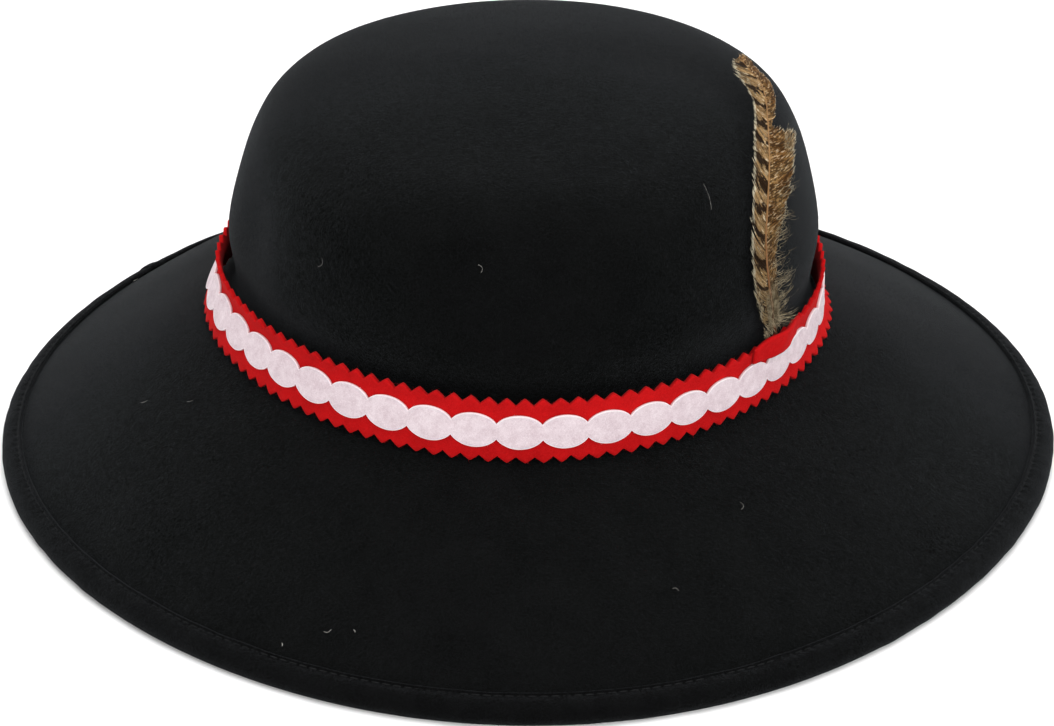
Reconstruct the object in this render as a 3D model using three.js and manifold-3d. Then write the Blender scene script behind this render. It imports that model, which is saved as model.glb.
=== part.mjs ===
// A round-crowned felt hat with a wide drooping brim, resting on its brim edge.
// Round the foot of the crown runs a band of red felt with pinked edges, with a strip of
// linked white felt ovals along its middle. A barred feather is glued to the band at the wearer's
// left front, under a small red patch, and bends back over the crown.
// Millimetres, +Z up, +X to the wearer's left, the front towards -Y.
// The origin is on the floor, in the middle of the brim.
import * as THREE from 'three';
import { mergeVertices } from 'three/addons/utils/BufferGeometryUtils.js';
import Module from 'manifold-3d';

const wasm = await Module();
wasm.setup();

// Felt and the clearance left between pieces that touch
const FELT = 2.0;
const TOUCH = 0.4;

// The band of red felt: an oval strip, kept straight in the middle of its width by the white
// strip. It is drawn in towards the crown a little behind the wearer's right side.
const BAND = {
  halfWidth: 91,
  halfLength: 94.6,
  power: 1.87,
  backPower: 2,
  x: -3.5,
  y: 2.4,
  height: 52.6,
  fall: 2.9,
  strip: 19.5,
  straight: 10,
  thickness: 1.2,
  toothPitch: 5.15,
  toothDepth: 2,
  tuck: { angle: 162, halfWidth: 19, depth: 3.4 },
};

// How far the band leans in at the top, in degrees: its middle leans more on the wearer's right
// and at the back. Its upper edge turns out at both sides. Its lower edge flares out over the
// brim, in a short stretch on the wearer's left.
const LEAN = {
  middle: 12.5,
  middleSide: -10,
  middleEnd: 4,
  upperSide: -14,
  upperEnd: 18,
  lowerRight: 18,
  lowerLeft: 48,
  stretch: 8,
};

// The white strip on it, cut as linked ovals
const OVALS = {
  pitch: 12.8,
  height: 10,
  neck: 4.8,
  thickness: 1.0,
  power: 2.4,
  stepsPerOval: 5,
  phase: -5.4,
};

// The crown above the band: rise over the band's middle, reach as a share of the foot's
// half-widths, and the power of the oval (2 is an ellipse)
const CROWN = { halfWidth: 89.9, halfLength: 91.6, backPower: 2.14, x: -1.6, y: 2, lean: 1 };
const CROWN_SECTIONS = [
  { rise: 4, reach: 0.955, power: 1.88 },
  { rise: 10, reach: 0.964, power: 1.9 },
  { rise: 20, reach: 0.976, power: 1.96 },
  { rise: 36.5, reach: 0.94, power: 2.05 },
  { rise: 47, reach: 0.899, power: 2.12 },
  { rise: 54, reach: 0.85, power: 2.14 },
  { rise: 60, reach: 0.75, power: 2.14 },
  { rise: 64, reach: 0.6, power: 2.12 },
  { rise: 67.2, reach: 0.4, power: 2.08 },
  { rise: 69.4, reach: 0.19, power: 2 },
  { rise: 70.2, reach: 0, power: 2 },
];
const CROWN_RINGS = 12;

// The height that counts as much as a full reach where the profile between sections is rounded
const CROWN_SCALE = 80;

// A soft crease that runs up the crown at the wearer's right front
const CREASE = { angle: -157, halfWidth: 9, depth: 1.4, from: 50, to: 112 };

// The brim: an almost straight cone from under the band to a flat-lying oval edge. footRise is
// the height of the turn from the brim up into the crown.
const BRIM = {
  halfWidth: 156.9,
  halfLength: 160.3,
  x: -0.3,
  y: 0.6,
  edgeHeight: 3.2,
  bulge: 1.6,
  footRise: 2.5,
  ripples: [
    { waves: 3, cos: 0.3, sin: 0.6 },
    { waves: 4, cos: 1.2, sin: 0.5 },
  ],
};
const BRIM_RINGS = 6;
const FOOT_RINGS = 4;
const BODY_SEGMENTS = 50;

// The strip folded over the brim's edge: width lying on the brim, thickness of its felt, how far
// its nose stands out past the edge, its play on the brim, and the rounding of its corners
const BINDING = { fold: 6, thickness: 1.7, nose: 2.4, play: 0.3, round: 0.6 };

// The red patch that holds the feather: its place round the band, its reach along the band, its
// lower and upper edges up the band's width, how far its middle stands up over the quill, and
// how much its ends narrow
const PATCH = {
  angle: -33.5,
  halfLength: 9.5,
  low: 5.5,
  high: 10.6,
  thickness: 1.1,
  hump: 1.9,
  narrowing: 0.8,
  steps: 10,
};

// The feather: its shaft from under the patch up and back over the crown, with the widths of
// the vane to the left and right of the shaft. The right vane is torn short near the tip.
// springing and dome are the height and radius of the crown's shoulder that the feather faces.
const FEATHER = { angle: -35, quill: 1.8, thickness: 0.9, ridge: 0.5, springing: 80, dome: 45 };
const FEATHER_SECTIONS = [
  { x: 70.1, y: -50.9, z: 63.4, left: 3.4, right: 4.2 },
  { x: 69.7, y: -53.6, z: 70.4, left: 4.5, right: 4.4 },
  { x: 68.4, y: -56.0, z: 80.0, left: 5.6, right: 5.0 },
  { x: 67.5, y: -56.0, z: 88.0, left: 5.8, right: 5.6 },
  { x: 67.2, y: -54.4, z: 95.0, left: 4.6, right: 6.6 },
  { x: 67.7, y: -50.4, z: 102.4, left: 4.7, right: 7.0 },
  { x: 68.4, y: -42.6, z: 109.8, left: 4.8, right: 8.2 },
  { x: 68.6, y: -36.0, z: 113.6, left: 4.6, right: 8.2 },
  { x: 68.6, y: -26.8, z: 117.2, left: 4.0, right: 9.4 },
  { x: 68.6, y: -24.4, z: 118.0, left: 3.9, right: 2.4 },
  { x: 68.4, y: -17.6, z: 120.0, left: 3.8, right: 2.9 },
  { x: 67.2, y: -10.0, z: 121.9, left: 4.4, right: 3.1 },
  { x: 65.4, y: -3.4, z: 123.3, left: 3.9, right: 2.3 },
];

// Loose locks of the feather, each from a place along its sections, out across it and along it:
// downy tufts low on the right, a torn end of the right vane, and the split tip
const FEATHER_LOCKS = [
  { from: 0.3, side: 2.2, across: 6.5, along: 1.5, width: 2.4 },
  { from: 0.9, side: 3.0, across: 6.0, along: 3.5, width: 2.2 },
  { from: 1.6, side: 3.2, across: 6.5, along: 1.0, width: 2.4 },
  { from: 2.2, side: 3.4, across: 5.5, along: 3.5, width: 2.0 },
  { from: 4.6, side: 5.0, across: 5.0, along: 4.0, width: 1.8 },
  { from: 1.2, side: -3.2, across: -4.2, along: 1.0, width: 1.6 },
  { from: 8.0, side: 7.4, across: 4.0, along: 4.5, width: 2.0 },
  { from: 11.8, side: -1.6, across: -1.6, along: 7.0, width: 3.4 },
  { from: 11.8, side: 0.8, across: -1.2, along: 10.5, width: 3.2 },
];

// How a lock bends on its way out, and how its width and thickness taper
const LOCK = { bendAcross: 0.8, bendAlong: 0.3, taper: 0.75, thickness: 0.64, thinning: 0.3, steps: 3 };

// Colour and roughness of each finish
const FINISHES = {
  blackFelt: { color: 0x15171a, roughness: 0.95 },
  redFelt: { color: 0xc31010, roughness: 0.92 },
  whiteFelt: { color: 0xe9dde0, roughness: 0.92 },
  barredVane: { color: 0x9c7846, roughness: 0.7 },
};

const FRONT = -Math.PI / 2;
const radians = (degrees) => (degrees * Math.PI) / 180;
const swell = (value, power) => Math.sign(value) * Math.abs(value) ** (2 / power);

// How far a soft dent reaches in at an angle round the hat
function dentDepth(dent, angle) {
  const middle = radians(dent.angle);
  const turn = Math.atan2(Math.sin(angle - middle), Math.cos(angle - middle));
  return dent.depth * Math.exp(-((turn / radians(dent.halfWidth)) ** 2));
}

// A point on an oval in plan, and the oval's outward direction there
function ovalPoint(oval, angle) {
  const { halfWidth, halfLength, power = 2, backPower = power, x = 0, y = 0, tuck } = oval;
  const shape = Math.sin(angle) > 0 ? backPower : power;
  const drawn = tuck ? 1 - dentDepth(tuck, angle) / halfWidth : 1;
  return new THREE.Vector2(
    drawn * halfWidth * swell(Math.cos(angle), shape) + x,
    drawn * halfLength * swell(Math.sin(angle), shape) + y,
  );
}

function outward(oval, angle) {
  const step = 0.01;
  const along = ovalPoint(oval, angle + step).sub(ovalPoint(oval, angle - step));
  return new THREE.Vector2(along.y, -along.x).normalize();
}

// A closed body from shared corners and triangles, turned so that its faces point out
function closedBody(corners, triangles) {
  let volume = 0;
  for (const [a, b, c] of triangles) {
    volume += corners[a].dot(corners[b].clone().cross(corners[c]));
  }
  const facing = volume < 0 ? triangles.map(([a, b, c]) => [a, c, b]) : triangles;
  const geometry = new THREE.BufferGeometry().setFromPoints(corners);
  geometry.setIndex(facing.flat());
  geometry.computeVertexNormals();
  return geometry;
}

// A row of equal sections joined one to the next, either into a ring or with flat ends
function sweep(sections, isRing) {
  const size = sections[0].length;
  const corners = sections.flat();
  const triangles = [];
  const last = isRing ? sections.length : sections.length - 1;
  for (let row = 0; row < last; row += 1) {
    const next = (row + 1) % sections.length;
    for (let i = 0; i < size; i += 1) {
      const j = (i + 1) % size;
      const [a, b, c, d] = [row * size + i, row * size + j, next * size + j, next * size + i];
      triangles.push([a, b, c], [a, c, d]);
    }
  }
  if (!isRing) {
    const end = corners.length - size;
    for (let i = 1; i < size - 1; i += 1) {
      triangles.push([0, i + 1, i], [end, end + i, end + i + 1]);
    }
  }
  return closedBody(corners, triangles);
}

// How the band leans where its width is above, within or below its straight middle
function bandLean(angle, beyond) {
  const side = Math.cos(angle);
  const end = Math.sin(angle);
  if (beyond > 0) return radians(LEAN.upperSide + LEAN.upperEnd * end ** 2);
  if (beyond === 0) return radians(LEAN.middle + LEAN.middleSide * side + LEAN.middleEnd * end);
  const left = LEAN.lowerLeft * Math.max(0, side) ** LEAN.stretch;
  return radians(left + LEAN.lowerRight * Math.max(0, -side));
}

// A point of the band: up its width from the middle, and out from its middle surface
function bandPoint(angle, up, out) {
  const middle = ovalPoint(BAND, angle);
  const away = outward(BAND, angle);
  const within = THREE.MathUtils.clamp(up, -BAND.straight / 2, BAND.straight / 2);
  const beyond = up - within;
  const lean = bandLean(angle, 0);
  const turned = bandLean(angle, beyond);
  const shift = out * Math.cos(turned) - within * Math.sin(lean) - beyond * Math.sin(turned);
  const rise = out * Math.sin(turned) + within * Math.cos(lean) + beyond * Math.cos(turned);
  return new THREE.Vector3(
    middle.x + away.x * shift,
    middle.y + away.y * shift,
    BAND.height - (BAND.fall * (middle.x - BAND.x)) / BAND.halfWidth + rise,
  );
}

// Angles that part the band into equal lengths, counted from its front
function equalAngles(count, phase) {
  const samples = 1440;
  const lengths = [0];
  let previous = ovalPoint(BAND, FRONT);
  for (let i = 1; i <= samples; i += 1) {
    const point = ovalPoint(BAND, FRONT + (i / samples) * 2 * Math.PI);
    lengths.push(lengths[i - 1] + point.distanceTo(previous));
    previous = point;
  }
  const total = lengths[samples];
  const angles = [];
  for (let i = 0; i < count; i += 1) {
    const target = THREE.MathUtils.euclideanModulo((i / count) * total + phase, total);
    const k = lengths.findIndex((length) => length > target);
    const share = (target - lengths[k - 1]) / (lengths[k] - lengths[k - 1]);
    angles.push(FRONT + ((k - 1 + share) / samples) * 2 * Math.PI);
  }
  return { angles, total };
}

const BAND_LENGTH = equalAngles(1, 0).total;

// The crown's outer skin
const crownProfile = new THREE.CatmullRomCurve3(
  [...CROWN_SECTIONS, ...CROWN_SECTIONS.slice(0, -1).reverse()].map(
    ({ rise, reach, power }, i) =>
      new THREE.Vector3(i < CROWN_SECTIONS.length ? reach : -reach, rise / CROWN_SCALE, power),
  ),
  false,
  'centripetal',
);

function creaseDepth(angle, height) {
  const up = THREE.MathUtils.clamp((height - CREASE.from) / (CREASE.to - CREASE.from), 0, 1);
  return dentDepth(CREASE, angle) * Math.sin(Math.PI * up) ** 2;
}

function crownPoint(angle, share) {
  const { x: reach, y, z: power } = crownProfile.getPoint(share / 2);
  const rise = y * CROWN_SCALE;
  const height = BAND.height + rise;
  const dent = creaseDepth(angle, height);
  const plan = ovalPoint({ ...CROWN, power, x: 0, y: 0 }, angle).multiplyScalar(reach);
  plan.multiplyScalar(Math.max(0, 1 - dent / CROWN.halfWidth));
  const shift = CROWN.x + (CROWN.lean * rise) / CROWN_SECTIONS.at(-1).rise;
  return new THREE.Vector3(plan.x + shift, plan.y + CROWN.y, height);
}

// The brim's outer edge, on which the binding is folded
function edgePoint(angle) {
  let ripple = 0;
  for (const { waves, cos, sin } of BRIM.ripples) {
    ripple += cos * Math.cos(waves * angle) + sin * Math.sin(waves * angle);
  }
  const plan = ovalPoint({ ...BRIM, x: 0, y: 0 }, angle);
  plan.multiplyScalar(1 + ripple / BRIM.halfWidth);
  return new THREE.Vector3(plan.x + BRIM.x, plan.y + BRIM.y, BRIM.edgeHeight);
}

// The felt body's outer skin at one angle, from the brim's edge up to the middle of the crown
function bodyLine(angle) {
  const line = [];
  const seat = bandPoint(angle, -BAND.strip / 2, -BAND.thickness / 2);
  seat.z -= TOUCH;
  const edge = edgePoint(angle);
  for (let i = 0; i < BRIM_RINGS; i += 1) {
    const share = 1 - i / BRIM_RINGS;
    const point = seat.clone().lerp(edge, share);
    point.z += 4 * BRIM.bulge * share * (1 - share);
    line.push(point);
  }
  const wall = crownPoint(angle, 0);
  const corner = new THREE.Vector3(wall.x, wall.y, seat.z + BRIM.footRise);
  const foot = new THREE.QuadraticBezierCurve3(seat, corner, wall);
  for (let i = 0; i < FOOT_RINGS; i += 1) {
    line.push(foot.getPoint(i / FOOT_RINGS));
  }
  for (let i = 0; i <= CROWN_RINGS; i += 1) {
    line.push(crownPoint(angle, i / CROWN_RINGS));
  }
  return line;
}

// The brim and crown: one blocked piece of felt, hollow, of an even thickness
function feltBody() {
  const lines = [];
  for (let i = 0; i < BODY_SEGMENTS; i += 1) {
    lines.push(bodyLine((i / BODY_SEGMENTS) * 2 * Math.PI));
  }
  const rings = lines[0].length - 1;
  const top = lines[0][rings];
  const outer = lines.map((line) => line.slice(0, rings));
  const inner = outer.map((line, i) => line.map((point, j) => {
    const around = outer[(i + 1) % BODY_SEGMENTS][j].clone()
      .sub(outer[(i + BODY_SEGMENTS - 1) % BODY_SEGMENTS][j]);
    const above = line[j + 1] ?? top;
    const below = line[j - 1] ?? point;
    const normal = around.cross(above.clone().sub(below)).normalize();
    return point.clone().addScaledVector(normal, -FELT);
  }));
  const corners = [...outer.flat(), ...inner.flat()];
  const triangles = [];
  const half = BODY_SEGMENTS * rings;
  const at = (segment, ring, side) => side * half + (segment % BODY_SEGMENTS) * rings + ring;
  const outerTop = corners.push(top) - 1;
  const innerTop = corners.push(top.clone().add(new THREE.Vector3(0, 0, -FELT))) - 1;
  for (let i = 0; i < BODY_SEGMENTS; i += 1) {
    for (let j = 0; j < rings - 1; j += 1) {
      for (const side of [0, 1]) {
        const quad = [at(i, j, side), at(i + 1, j, side), at(i + 1, j + 1, side), at(i, j + 1, side)];
        if (side === 1) quad.reverse();
        triangles.push([quad[0], quad[1], quad[2]], [quad[0], quad[2], quad[3]]);
      }
    }
    triangles.push([at(i, rings - 1, 0), at(i + 1, rings - 1, 0), outerTop]);
    triangles.push([at(i + 1, rings - 1, 1), at(i, rings - 1, 1), innerTop]);
    triangles.push([at(i, 0, 1), at(i + 1, 0, 1), at(i + 1, 0, 0)]);
    triangles.push([at(i, 0, 1), at(i + 1, 0, 0), at(i, 0, 0)]);
  }
  return closedBody(corners, triangles);
}

// The binding's section round the brim's edge: along the brim's slope from the edge, and
// square to it from the brim's upper skin. Its lowest side is cut flat, to lie on the floor.
function bindingSection() {
  const { fold, thickness, nose, play, round } = BINDING;
  const top = play + thickness;
  const under = -FELT - play;
  const bottom = under - thickness;
  return [
    [-fold, play],
    [-fold + round, top],
    [-2.5 * round, top + round / 2],
    [nose - 1.5 * round, top - round],
    [nose, -round],
    [nose - round, under - round],
    [nose - 3.3 * round, bottom],
    [-fold + round, bottom],
    [-fold, under],
    [play, under],
    [play, play],
  ];
}

function edgeBinding() {
  const sections = [];
  for (let i = 0; i < BODY_SEGMENTS; i += 1) {
    const [edge, above] = bodyLine((i / BODY_SEGMENTS) * 2 * Math.PI);
    const away = new THREE.Vector2(edge.x - above.x, edge.y - above.y);
    const slope = Math.atan2(above.z - edge.z, away.length());
    away.normalize();
    sections.push(bindingSection().map(([along, square]) => {
      const out = along * Math.cos(slope) + square * Math.sin(slope);
      const up = square * Math.cos(slope) - along * Math.sin(slope);
      return new THREE.Vector3(
        edge.x + away.x * out,
        edge.y + away.y * out,
        Math.max(0, edge.z + up),
      );
    }));
  }
  return sweep(sections, true);
}

// The band: a strip with teeth cut along both edges
function redBand() {
  const teeth = Math.round(BAND_LENGTH / BAND.toothPitch);
  const { angles } = equalAngles(2 * teeth, 0);
  const half = BAND.thickness / 2;
  const sections = angles.map((angle, i) => {
    const reach = BAND.strip / 2 - (i % 2 === 0 ? BAND.toothDepth : 0);
    const rows = [-reach, -BAND.straight / 2, BAND.straight / 2, reach];
    return [
      ...rows.map((up) => bandPoint(angle, up, -half)),
      ...rows.reverse().map((up) => bandPoint(angle, up, half)),
    ];
  });
  return sweep(sections, true);
}

// The white strip: ovals that run into one another at narrow necks
function whiteStrip() {
  const ovals = Math.round(BAND_LENGTH / OVALS.pitch);
  const { angles } = equalAngles(ovals * OVALS.stepsPerOval, OVALS.phase);
  const inside = BAND.thickness / 2 + TOUCH;
  const sections = angles.map((angle, i) => {
    const place = ((i % OVALS.stepsPerOval) / OVALS.stepsPerOval) * 2 - 1;
    const rounded = (1 - Math.abs(place) ** OVALS.power) ** (1 / OVALS.power);
    const reach = Math.max(OVALS.neck, OVALS.height * rounded) / 2;
    return [
      bandPoint(angle, -reach, inside),
      bandPoint(angle, -reach, inside + OVALS.thickness),
      bandPoint(angle, reach, inside + OVALS.thickness),
      bandPoint(angle, reach, inside),
    ];
  });
  return sweep(sections, true);
}

// The patch: a felt strip on the band's upper edge that humps over the feather's quill
function featherPatch() {
  const sections = [];
  const inside = BAND.thickness / 2 + TOUCH;
  for (let i = 0; i <= PATCH.steps; i += 1) {
    const place = (2 * i) / PATCH.steps - 1;
    const angle = radians(PATCH.angle) + (place * PATCH.halfLength) / BAND.halfWidth;
    const hump = PATCH.hump * Math.cos((Math.PI / 2) * place) ** 2;
    const trim = PATCH.narrowing * place ** 4;
    sections.push([
      bandPoint(angle, PATCH.low, inside + hump),
      bandPoint(angle, PATCH.low, inside + hump + PATCH.thickness),
      bandPoint(angle, PATCH.high - trim, inside + hump + PATCH.thickness),
      bandPoint(angle, PATCH.high - trim, inside + hump),
    ]);
  }
  return sweep(sections, false);
}

// The shaft's line, and the directions across and away from the crown at a place along it
const shaft = new THREE.CatmullRomCurve3(
  FEATHER_SECTIONS.map(({ x, y, z }) => new THREE.Vector3(x, y, z)),
);

function shaftFrame(place) {
  const share = THREE.MathUtils.clamp(place / (FEATHER_SECTIONS.length - 1), 0, 1);
  const point = shaft.getPoint(share);
  const along = shaft.getTangent(share);
  const away = new THREE.Vector3(
    (point.x - CROWN.x) / CROWN.halfWidth ** 2,
    (point.y - CROWN.y) / CROWN.halfLength ** 2,
    Math.max(0, point.z - FEATHER.springing) / FEATHER.dome ** 2,
  );
  const across = along.clone().cross(away).normalize();
  return { point, along, across, away: across.clone().cross(along) };
}

// A section of the vane: thin at both edges' rims and ridged along the shaft
function vaneSection({ point, across, away }, left, right) {
  const at = (side, out) => point.clone().addScaledVector(across, side).addScaledVector(away, out);
  const half = FEATHER.thickness / 2;
  return [
    at(-left, -half),
    at(0, -half),
    at(right, -half),
    at(right, half),
    at(0, half + FEATHER.ridge),
    at(-left, half),
  ];
}

// A tapering lock that leaves the vane sideways and bends along it
function lockBody({ from, side, across, along, width }) {
  const frame = shaftFrame(from);
  const root = frame.point.clone().addScaledVector(frame.across, side);
  const tip = root.clone().addScaledVector(frame.across, across)
    .addScaledVector(frame.along, along);
  const bend = root.clone().addScaledVector(frame.across, LOCK.bendAcross * across)
    .addScaledVector(frame.along, LOCK.bendAlong * along);
  const line = new THREE.QuadraticBezierCurve3(root, bend, tip);
  const sections = [];
  for (let i = 0; i <= LOCK.steps; i += 1) {
    const share = i / LOCK.steps;
    const half = (width / 2) * (1 - LOCK.taper * share);
    const height = (LOCK.thickness / 2) * (1 - LOCK.thinning * share);
    const centre = line.getPoint(share);
    const aside = line.getTangent(share).cross(frame.away).normalize();
    const corners = [[-half, -height], [half, -height], [half, height], [-half, height]];
    sections.push(corners.map(([out, up]) => (
      centre.clone().addScaledVector(aside, out).addScaledVector(frame.away, up)
    )));
  }
  return sweep(sections, false);
}

function toSolid(geometry) {
  const bare = geometry.clone();
  bare.deleteAttribute('normal');
  const merged = mergeVertices(bare);
  return new wasm.Manifold(new wasm.Mesh({
    numProp: 3,
    vertProperties: new Float32Array(merged.attributes.position.array),
    triVerts: new Uint32Array(merged.index.array),
  }));
}

function toGeometry(solid) {
  const { vertProperties, triVerts, numProp } = solid.getMesh();
  const geometry = new THREE.BufferGeometry();
  const positions = [];
  for (let i = 0; i < vertProperties.length; i += numProp) {
    positions.push(vertProperties[i], vertProperties[i + 1], vertProperties[i + 2]);
  }
  geometry.setAttribute('position', new THREE.Float32BufferAttribute(positions, 3));
  geometry.setIndex(Array.from(triVerts));
  geometry.computeVertexNormals();
  return geometry;
}

// The feather: quill under the patch, vane, and loose locks, all one body
function feather() {
  const lift = BAND.thickness / 2 + TOUCH + FEATHER.thickness / 2;
  const angle = radians(FEATHER.angle);
  const first = shaftFrame(0);
  const quill = [PATCH.low + TOUCH, PATCH.high].map((up) => (
    vaneSection({ ...first, point: bandPoint(angle, up, lift) }, FEATHER.quill / 2, FEATHER.quill / 2)
  ));
  const sections = [
    ...quill,
    ...FEATHER_SECTIONS.map(({ left, right }, i) => vaneSection(shaftFrame(i), left, right)),
  ];
  let solid = toSolid(sweep(sections, false));
  for (const lock of FEATHER_LOCKS) {
    solid = solid.add(toSolid(lockBody(lock)));
  }
  return toGeometry(solid);
}

const hat = new THREE.Group();
function add(name, geometry, finish) {
  const mesh = new THREE.Mesh(geometry, new THREE.MeshStandardMaterial({ ...finish, metalness: 0 }));
  mesh.name = name;
  hat.add(mesh);
}

add('felt_body', feltBody(), FINISHES.blackFelt);
add('edge_binding', edgeBinding(), FINISHES.blackFelt);
add('red_band', redBand(), FINISHES.redFelt);
add('white_scallop_strip', whiteStrip(), FINISHES.whiteFelt);
add('feather_patch', featherPatch(), FINISHES.redFelt);
add('feather', feather(), FINISHES.barredVane);

export default hat;
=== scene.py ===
import math

import bpy
import numpy as np
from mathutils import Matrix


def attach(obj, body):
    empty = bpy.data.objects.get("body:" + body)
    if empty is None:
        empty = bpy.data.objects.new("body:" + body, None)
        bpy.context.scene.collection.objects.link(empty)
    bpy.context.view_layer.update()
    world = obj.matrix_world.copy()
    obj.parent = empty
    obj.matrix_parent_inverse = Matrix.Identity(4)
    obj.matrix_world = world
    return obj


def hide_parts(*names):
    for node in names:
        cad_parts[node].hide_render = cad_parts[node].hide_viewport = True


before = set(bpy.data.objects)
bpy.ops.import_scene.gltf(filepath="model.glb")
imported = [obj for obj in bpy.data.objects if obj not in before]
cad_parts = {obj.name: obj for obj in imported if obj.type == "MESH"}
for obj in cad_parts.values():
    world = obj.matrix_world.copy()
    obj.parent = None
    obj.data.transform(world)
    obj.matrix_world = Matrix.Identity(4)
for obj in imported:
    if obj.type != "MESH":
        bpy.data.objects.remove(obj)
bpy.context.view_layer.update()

# The felt body
# Crown and brim are one piece of stiffened black felt, blocked hot over a round form. The wall is
# one even skin: a nearly straight cone for the brim, a tight turn up under the band, and a round
# crown with a soft crease at the wearer's right front.
MM = 0.001
FELT = 2.0 * MM
TOUCH = 0.4 * MM
FRONT = -math.pi / 2

BAND = {
    "half_width": 91 * MM,
    "half_length": 94.6 * MM,
    "power": 1.87,
    "back_power": 2.0,
}
BAND_MIDDLE = np.array([-3.5, 2.4]) * MM
# Where the band is drawn in towards the crown, behind the wearer's right side
BAND_TUCK = {"angle": 162, "half_width": 19, "depth": 3.4 * MM}
BAND_HEIGHT = 52.6 * MM
BAND_FALL = 2.9 * MM
BAND_STRIP = 19.5 * MM
BAND_STRAIGHT = 10 * MM
BAND_THICKNESS = 1.2 * MM
BAND_BEND = 1.5 * MM
LEAN = {
    "middle": 12.5,
    "middle_side": -10,
    "middle_end": 4,
    "upper_side": -14,
    "upper_end": 18,
    "lower_right": 18,
    "lower_left": 48,
    "stretch": 8,
}

CROWN = {"half_width": 89.9 * MM, "half_length": 91.6 * MM}
CROWN_MIDDLE = np.array([-1.6, 2.0]) * MM
CROWN_BACK_POWER = 2.14
CROWN_LEAN = 1.0 * MM
CROWN_SCALE = 80 * MM
# Rise over the band's middle, reach as a share of the foot's half widths, power of the oval
CROWN_SECTIONS = [
    (4.0 * MM, 0.955, 1.88),
    (10.0 * MM, 0.964, 1.9),
    (20.0 * MM, 0.976, 1.96),
    (36.5 * MM, 0.94, 2.05),
    (47.0 * MM, 0.899, 2.12),
    (54.0 * MM, 0.85, 2.14),
    (60.0 * MM, 0.75, 2.14),
    (64.0 * MM, 0.6, 2.12),
    (67.2 * MM, 0.4, 2.08),
    (69.4 * MM, 0.19, 2.0),
    (70.2 * MM, 0.0, 2.0),
]
CREASE = {"angle": -157, "half_width": 9, "depth": 1.4 * MM, "low": 50 * MM, "high": 112 * MM}

BRIM = {"half_width": 156.9 * MM, "half_length": 160.3 * MM, "power": 2.0, "back_power": 2.0}
BRIM_MIDDLE = np.array([-0.3, 0.6]) * MM
BRIM_EDGE_HEIGHT = 3.2 * MM
BRIM_BULGE = 1.6 * MM
BRIM_FOOT_RISE = 2.5 * MM
# Waves round the edge, with the part of each that goes with its cosine and its sine
BRIM_RIPPLES = [(3, 0.3 * MM, 0.6 * MM), (4, 1.2 * MM, 0.5 * MM)]

BODY_COLUMNS = 240
BRIM_ROWS = 34
FOOT_ROWS = 10
CROWN_ROWS = 52
UNEVEN = {"size": 46 * MM, "depth": 0.16 * MM, "waves": 14, "seed": 3}
# Rows over which the unevenness fades at both ends of the brim, and comes back above the band
FADE_ROWS = 5
ABOVE_BAND_ROWS = (5, 14)

# The felt's tone is made of fine fibres and broad clouds, within a stretch of the noise's range
FELT_TONE = {"fibres": 0.6, "clouds": 0.4, "low": 0.36, "high": 0.64}
# Long hairs in the pile: how much larger than its fibres, how thin, how bright and how raised
LONG_HAIRS = {"size": 2.6, "thin": 0.045, "bright": 0.35, "height": 0.25}
FELT_RELIEF = 0.25 * MM


def swell(value, power):
    """The superellipse's version of a sine or cosine."""
    return np.sign(value) * np.abs(value) ** (2.0 / power)


def oval(angle, half_width, half_length, power, back_power):
    """Points on an oval in plan, whose back half has a power of its own."""
    shape = np.where(np.sin(angle) > 0, back_power, power)
    across = half_width * swell(np.cos(angle), shape)
    along = half_length * swell(np.sin(angle), shape)
    return np.stack([across, along], axis=-1)


def dent_depth(dent, angle):
    """How far a soft dent reaches in at an angle round the hat."""
    middle = math.radians(dent["angle"])
    turn = np.arctan2(np.sin(angle - middle), np.cos(angle - middle))
    return dent["depth"] * np.exp(-((turn / math.radians(dent["half_width"])) ** 2))


def unit(vectors):
    return vectors / np.maximum(np.linalg.norm(vectors, axis=-1, keepdims=True), 1e-12)


def ease(value, low, high):
    """0 below low, 1 above high, and a smooth step between them."""
    share = np.clip((value - low) / (high - low), 0, 1)
    return share * share * (3 - 2 * share)


def smooth_line(points, places):
    """Points on a centripetal curve through the given ones, at places counted in points."""
    points = np.asarray(points, float)
    padded = np.vstack([2 * points[0] - points[1], points, 2 * points[-1] - points[-2]])
    places = np.clip(np.asarray(places, float), 0, len(points) - 1)
    first = np.minimum(places.astype(int), len(points) - 2)
    part = (places - first)[..., None]
    before, here, there, after = (padded[first + i] for i in range(4))
    gaps = []
    for start, end in ((before, here), (here, there), (there, after)):
        gaps.append(np.maximum(np.linalg.norm(end - start, axis=-1, keepdims=True), 1e-9) ** 0.5)
    gap_in, gap, gap_out = gaps
    enter = (here - before) / gap_in - (there - before) / (gap_in + gap) + (there - here) / gap
    leave = (there - here) / gap - (after - here) / (gap + gap_out) + (after - there) / gap_out
    enter = enter * gap
    leave = leave * gap
    bend = -3 * here + 3 * there - 2 * enter - leave
    twist = 2 * here - 2 * there + enter + leave
    return here + part * (enter + part * (bend + part * twist))


def soft_waves(points, size, waves, seed):
    """A smooth random field over points in space, about -1 to 1, with bumps of the given size."""
    random = np.random.default_rng(seed)
    total = np.zeros(points.shape[:-1])
    for _ in range(waves):
        direction = unit(random.normal(size=3))
        pitch = size * random.uniform(0.7, 1.5)
        total += np.sin(points @ direction * 2 * math.pi / pitch + random.uniform(0, 2 * math.pi))
    return total / math.sqrt(waves)


def band_plan(angle):
    drawn = 1 - dent_depth(BAND_TUCK, angle) / BAND["half_width"]
    return oval(angle, **BAND) * drawn[..., None] + BAND_MIDDLE


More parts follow.
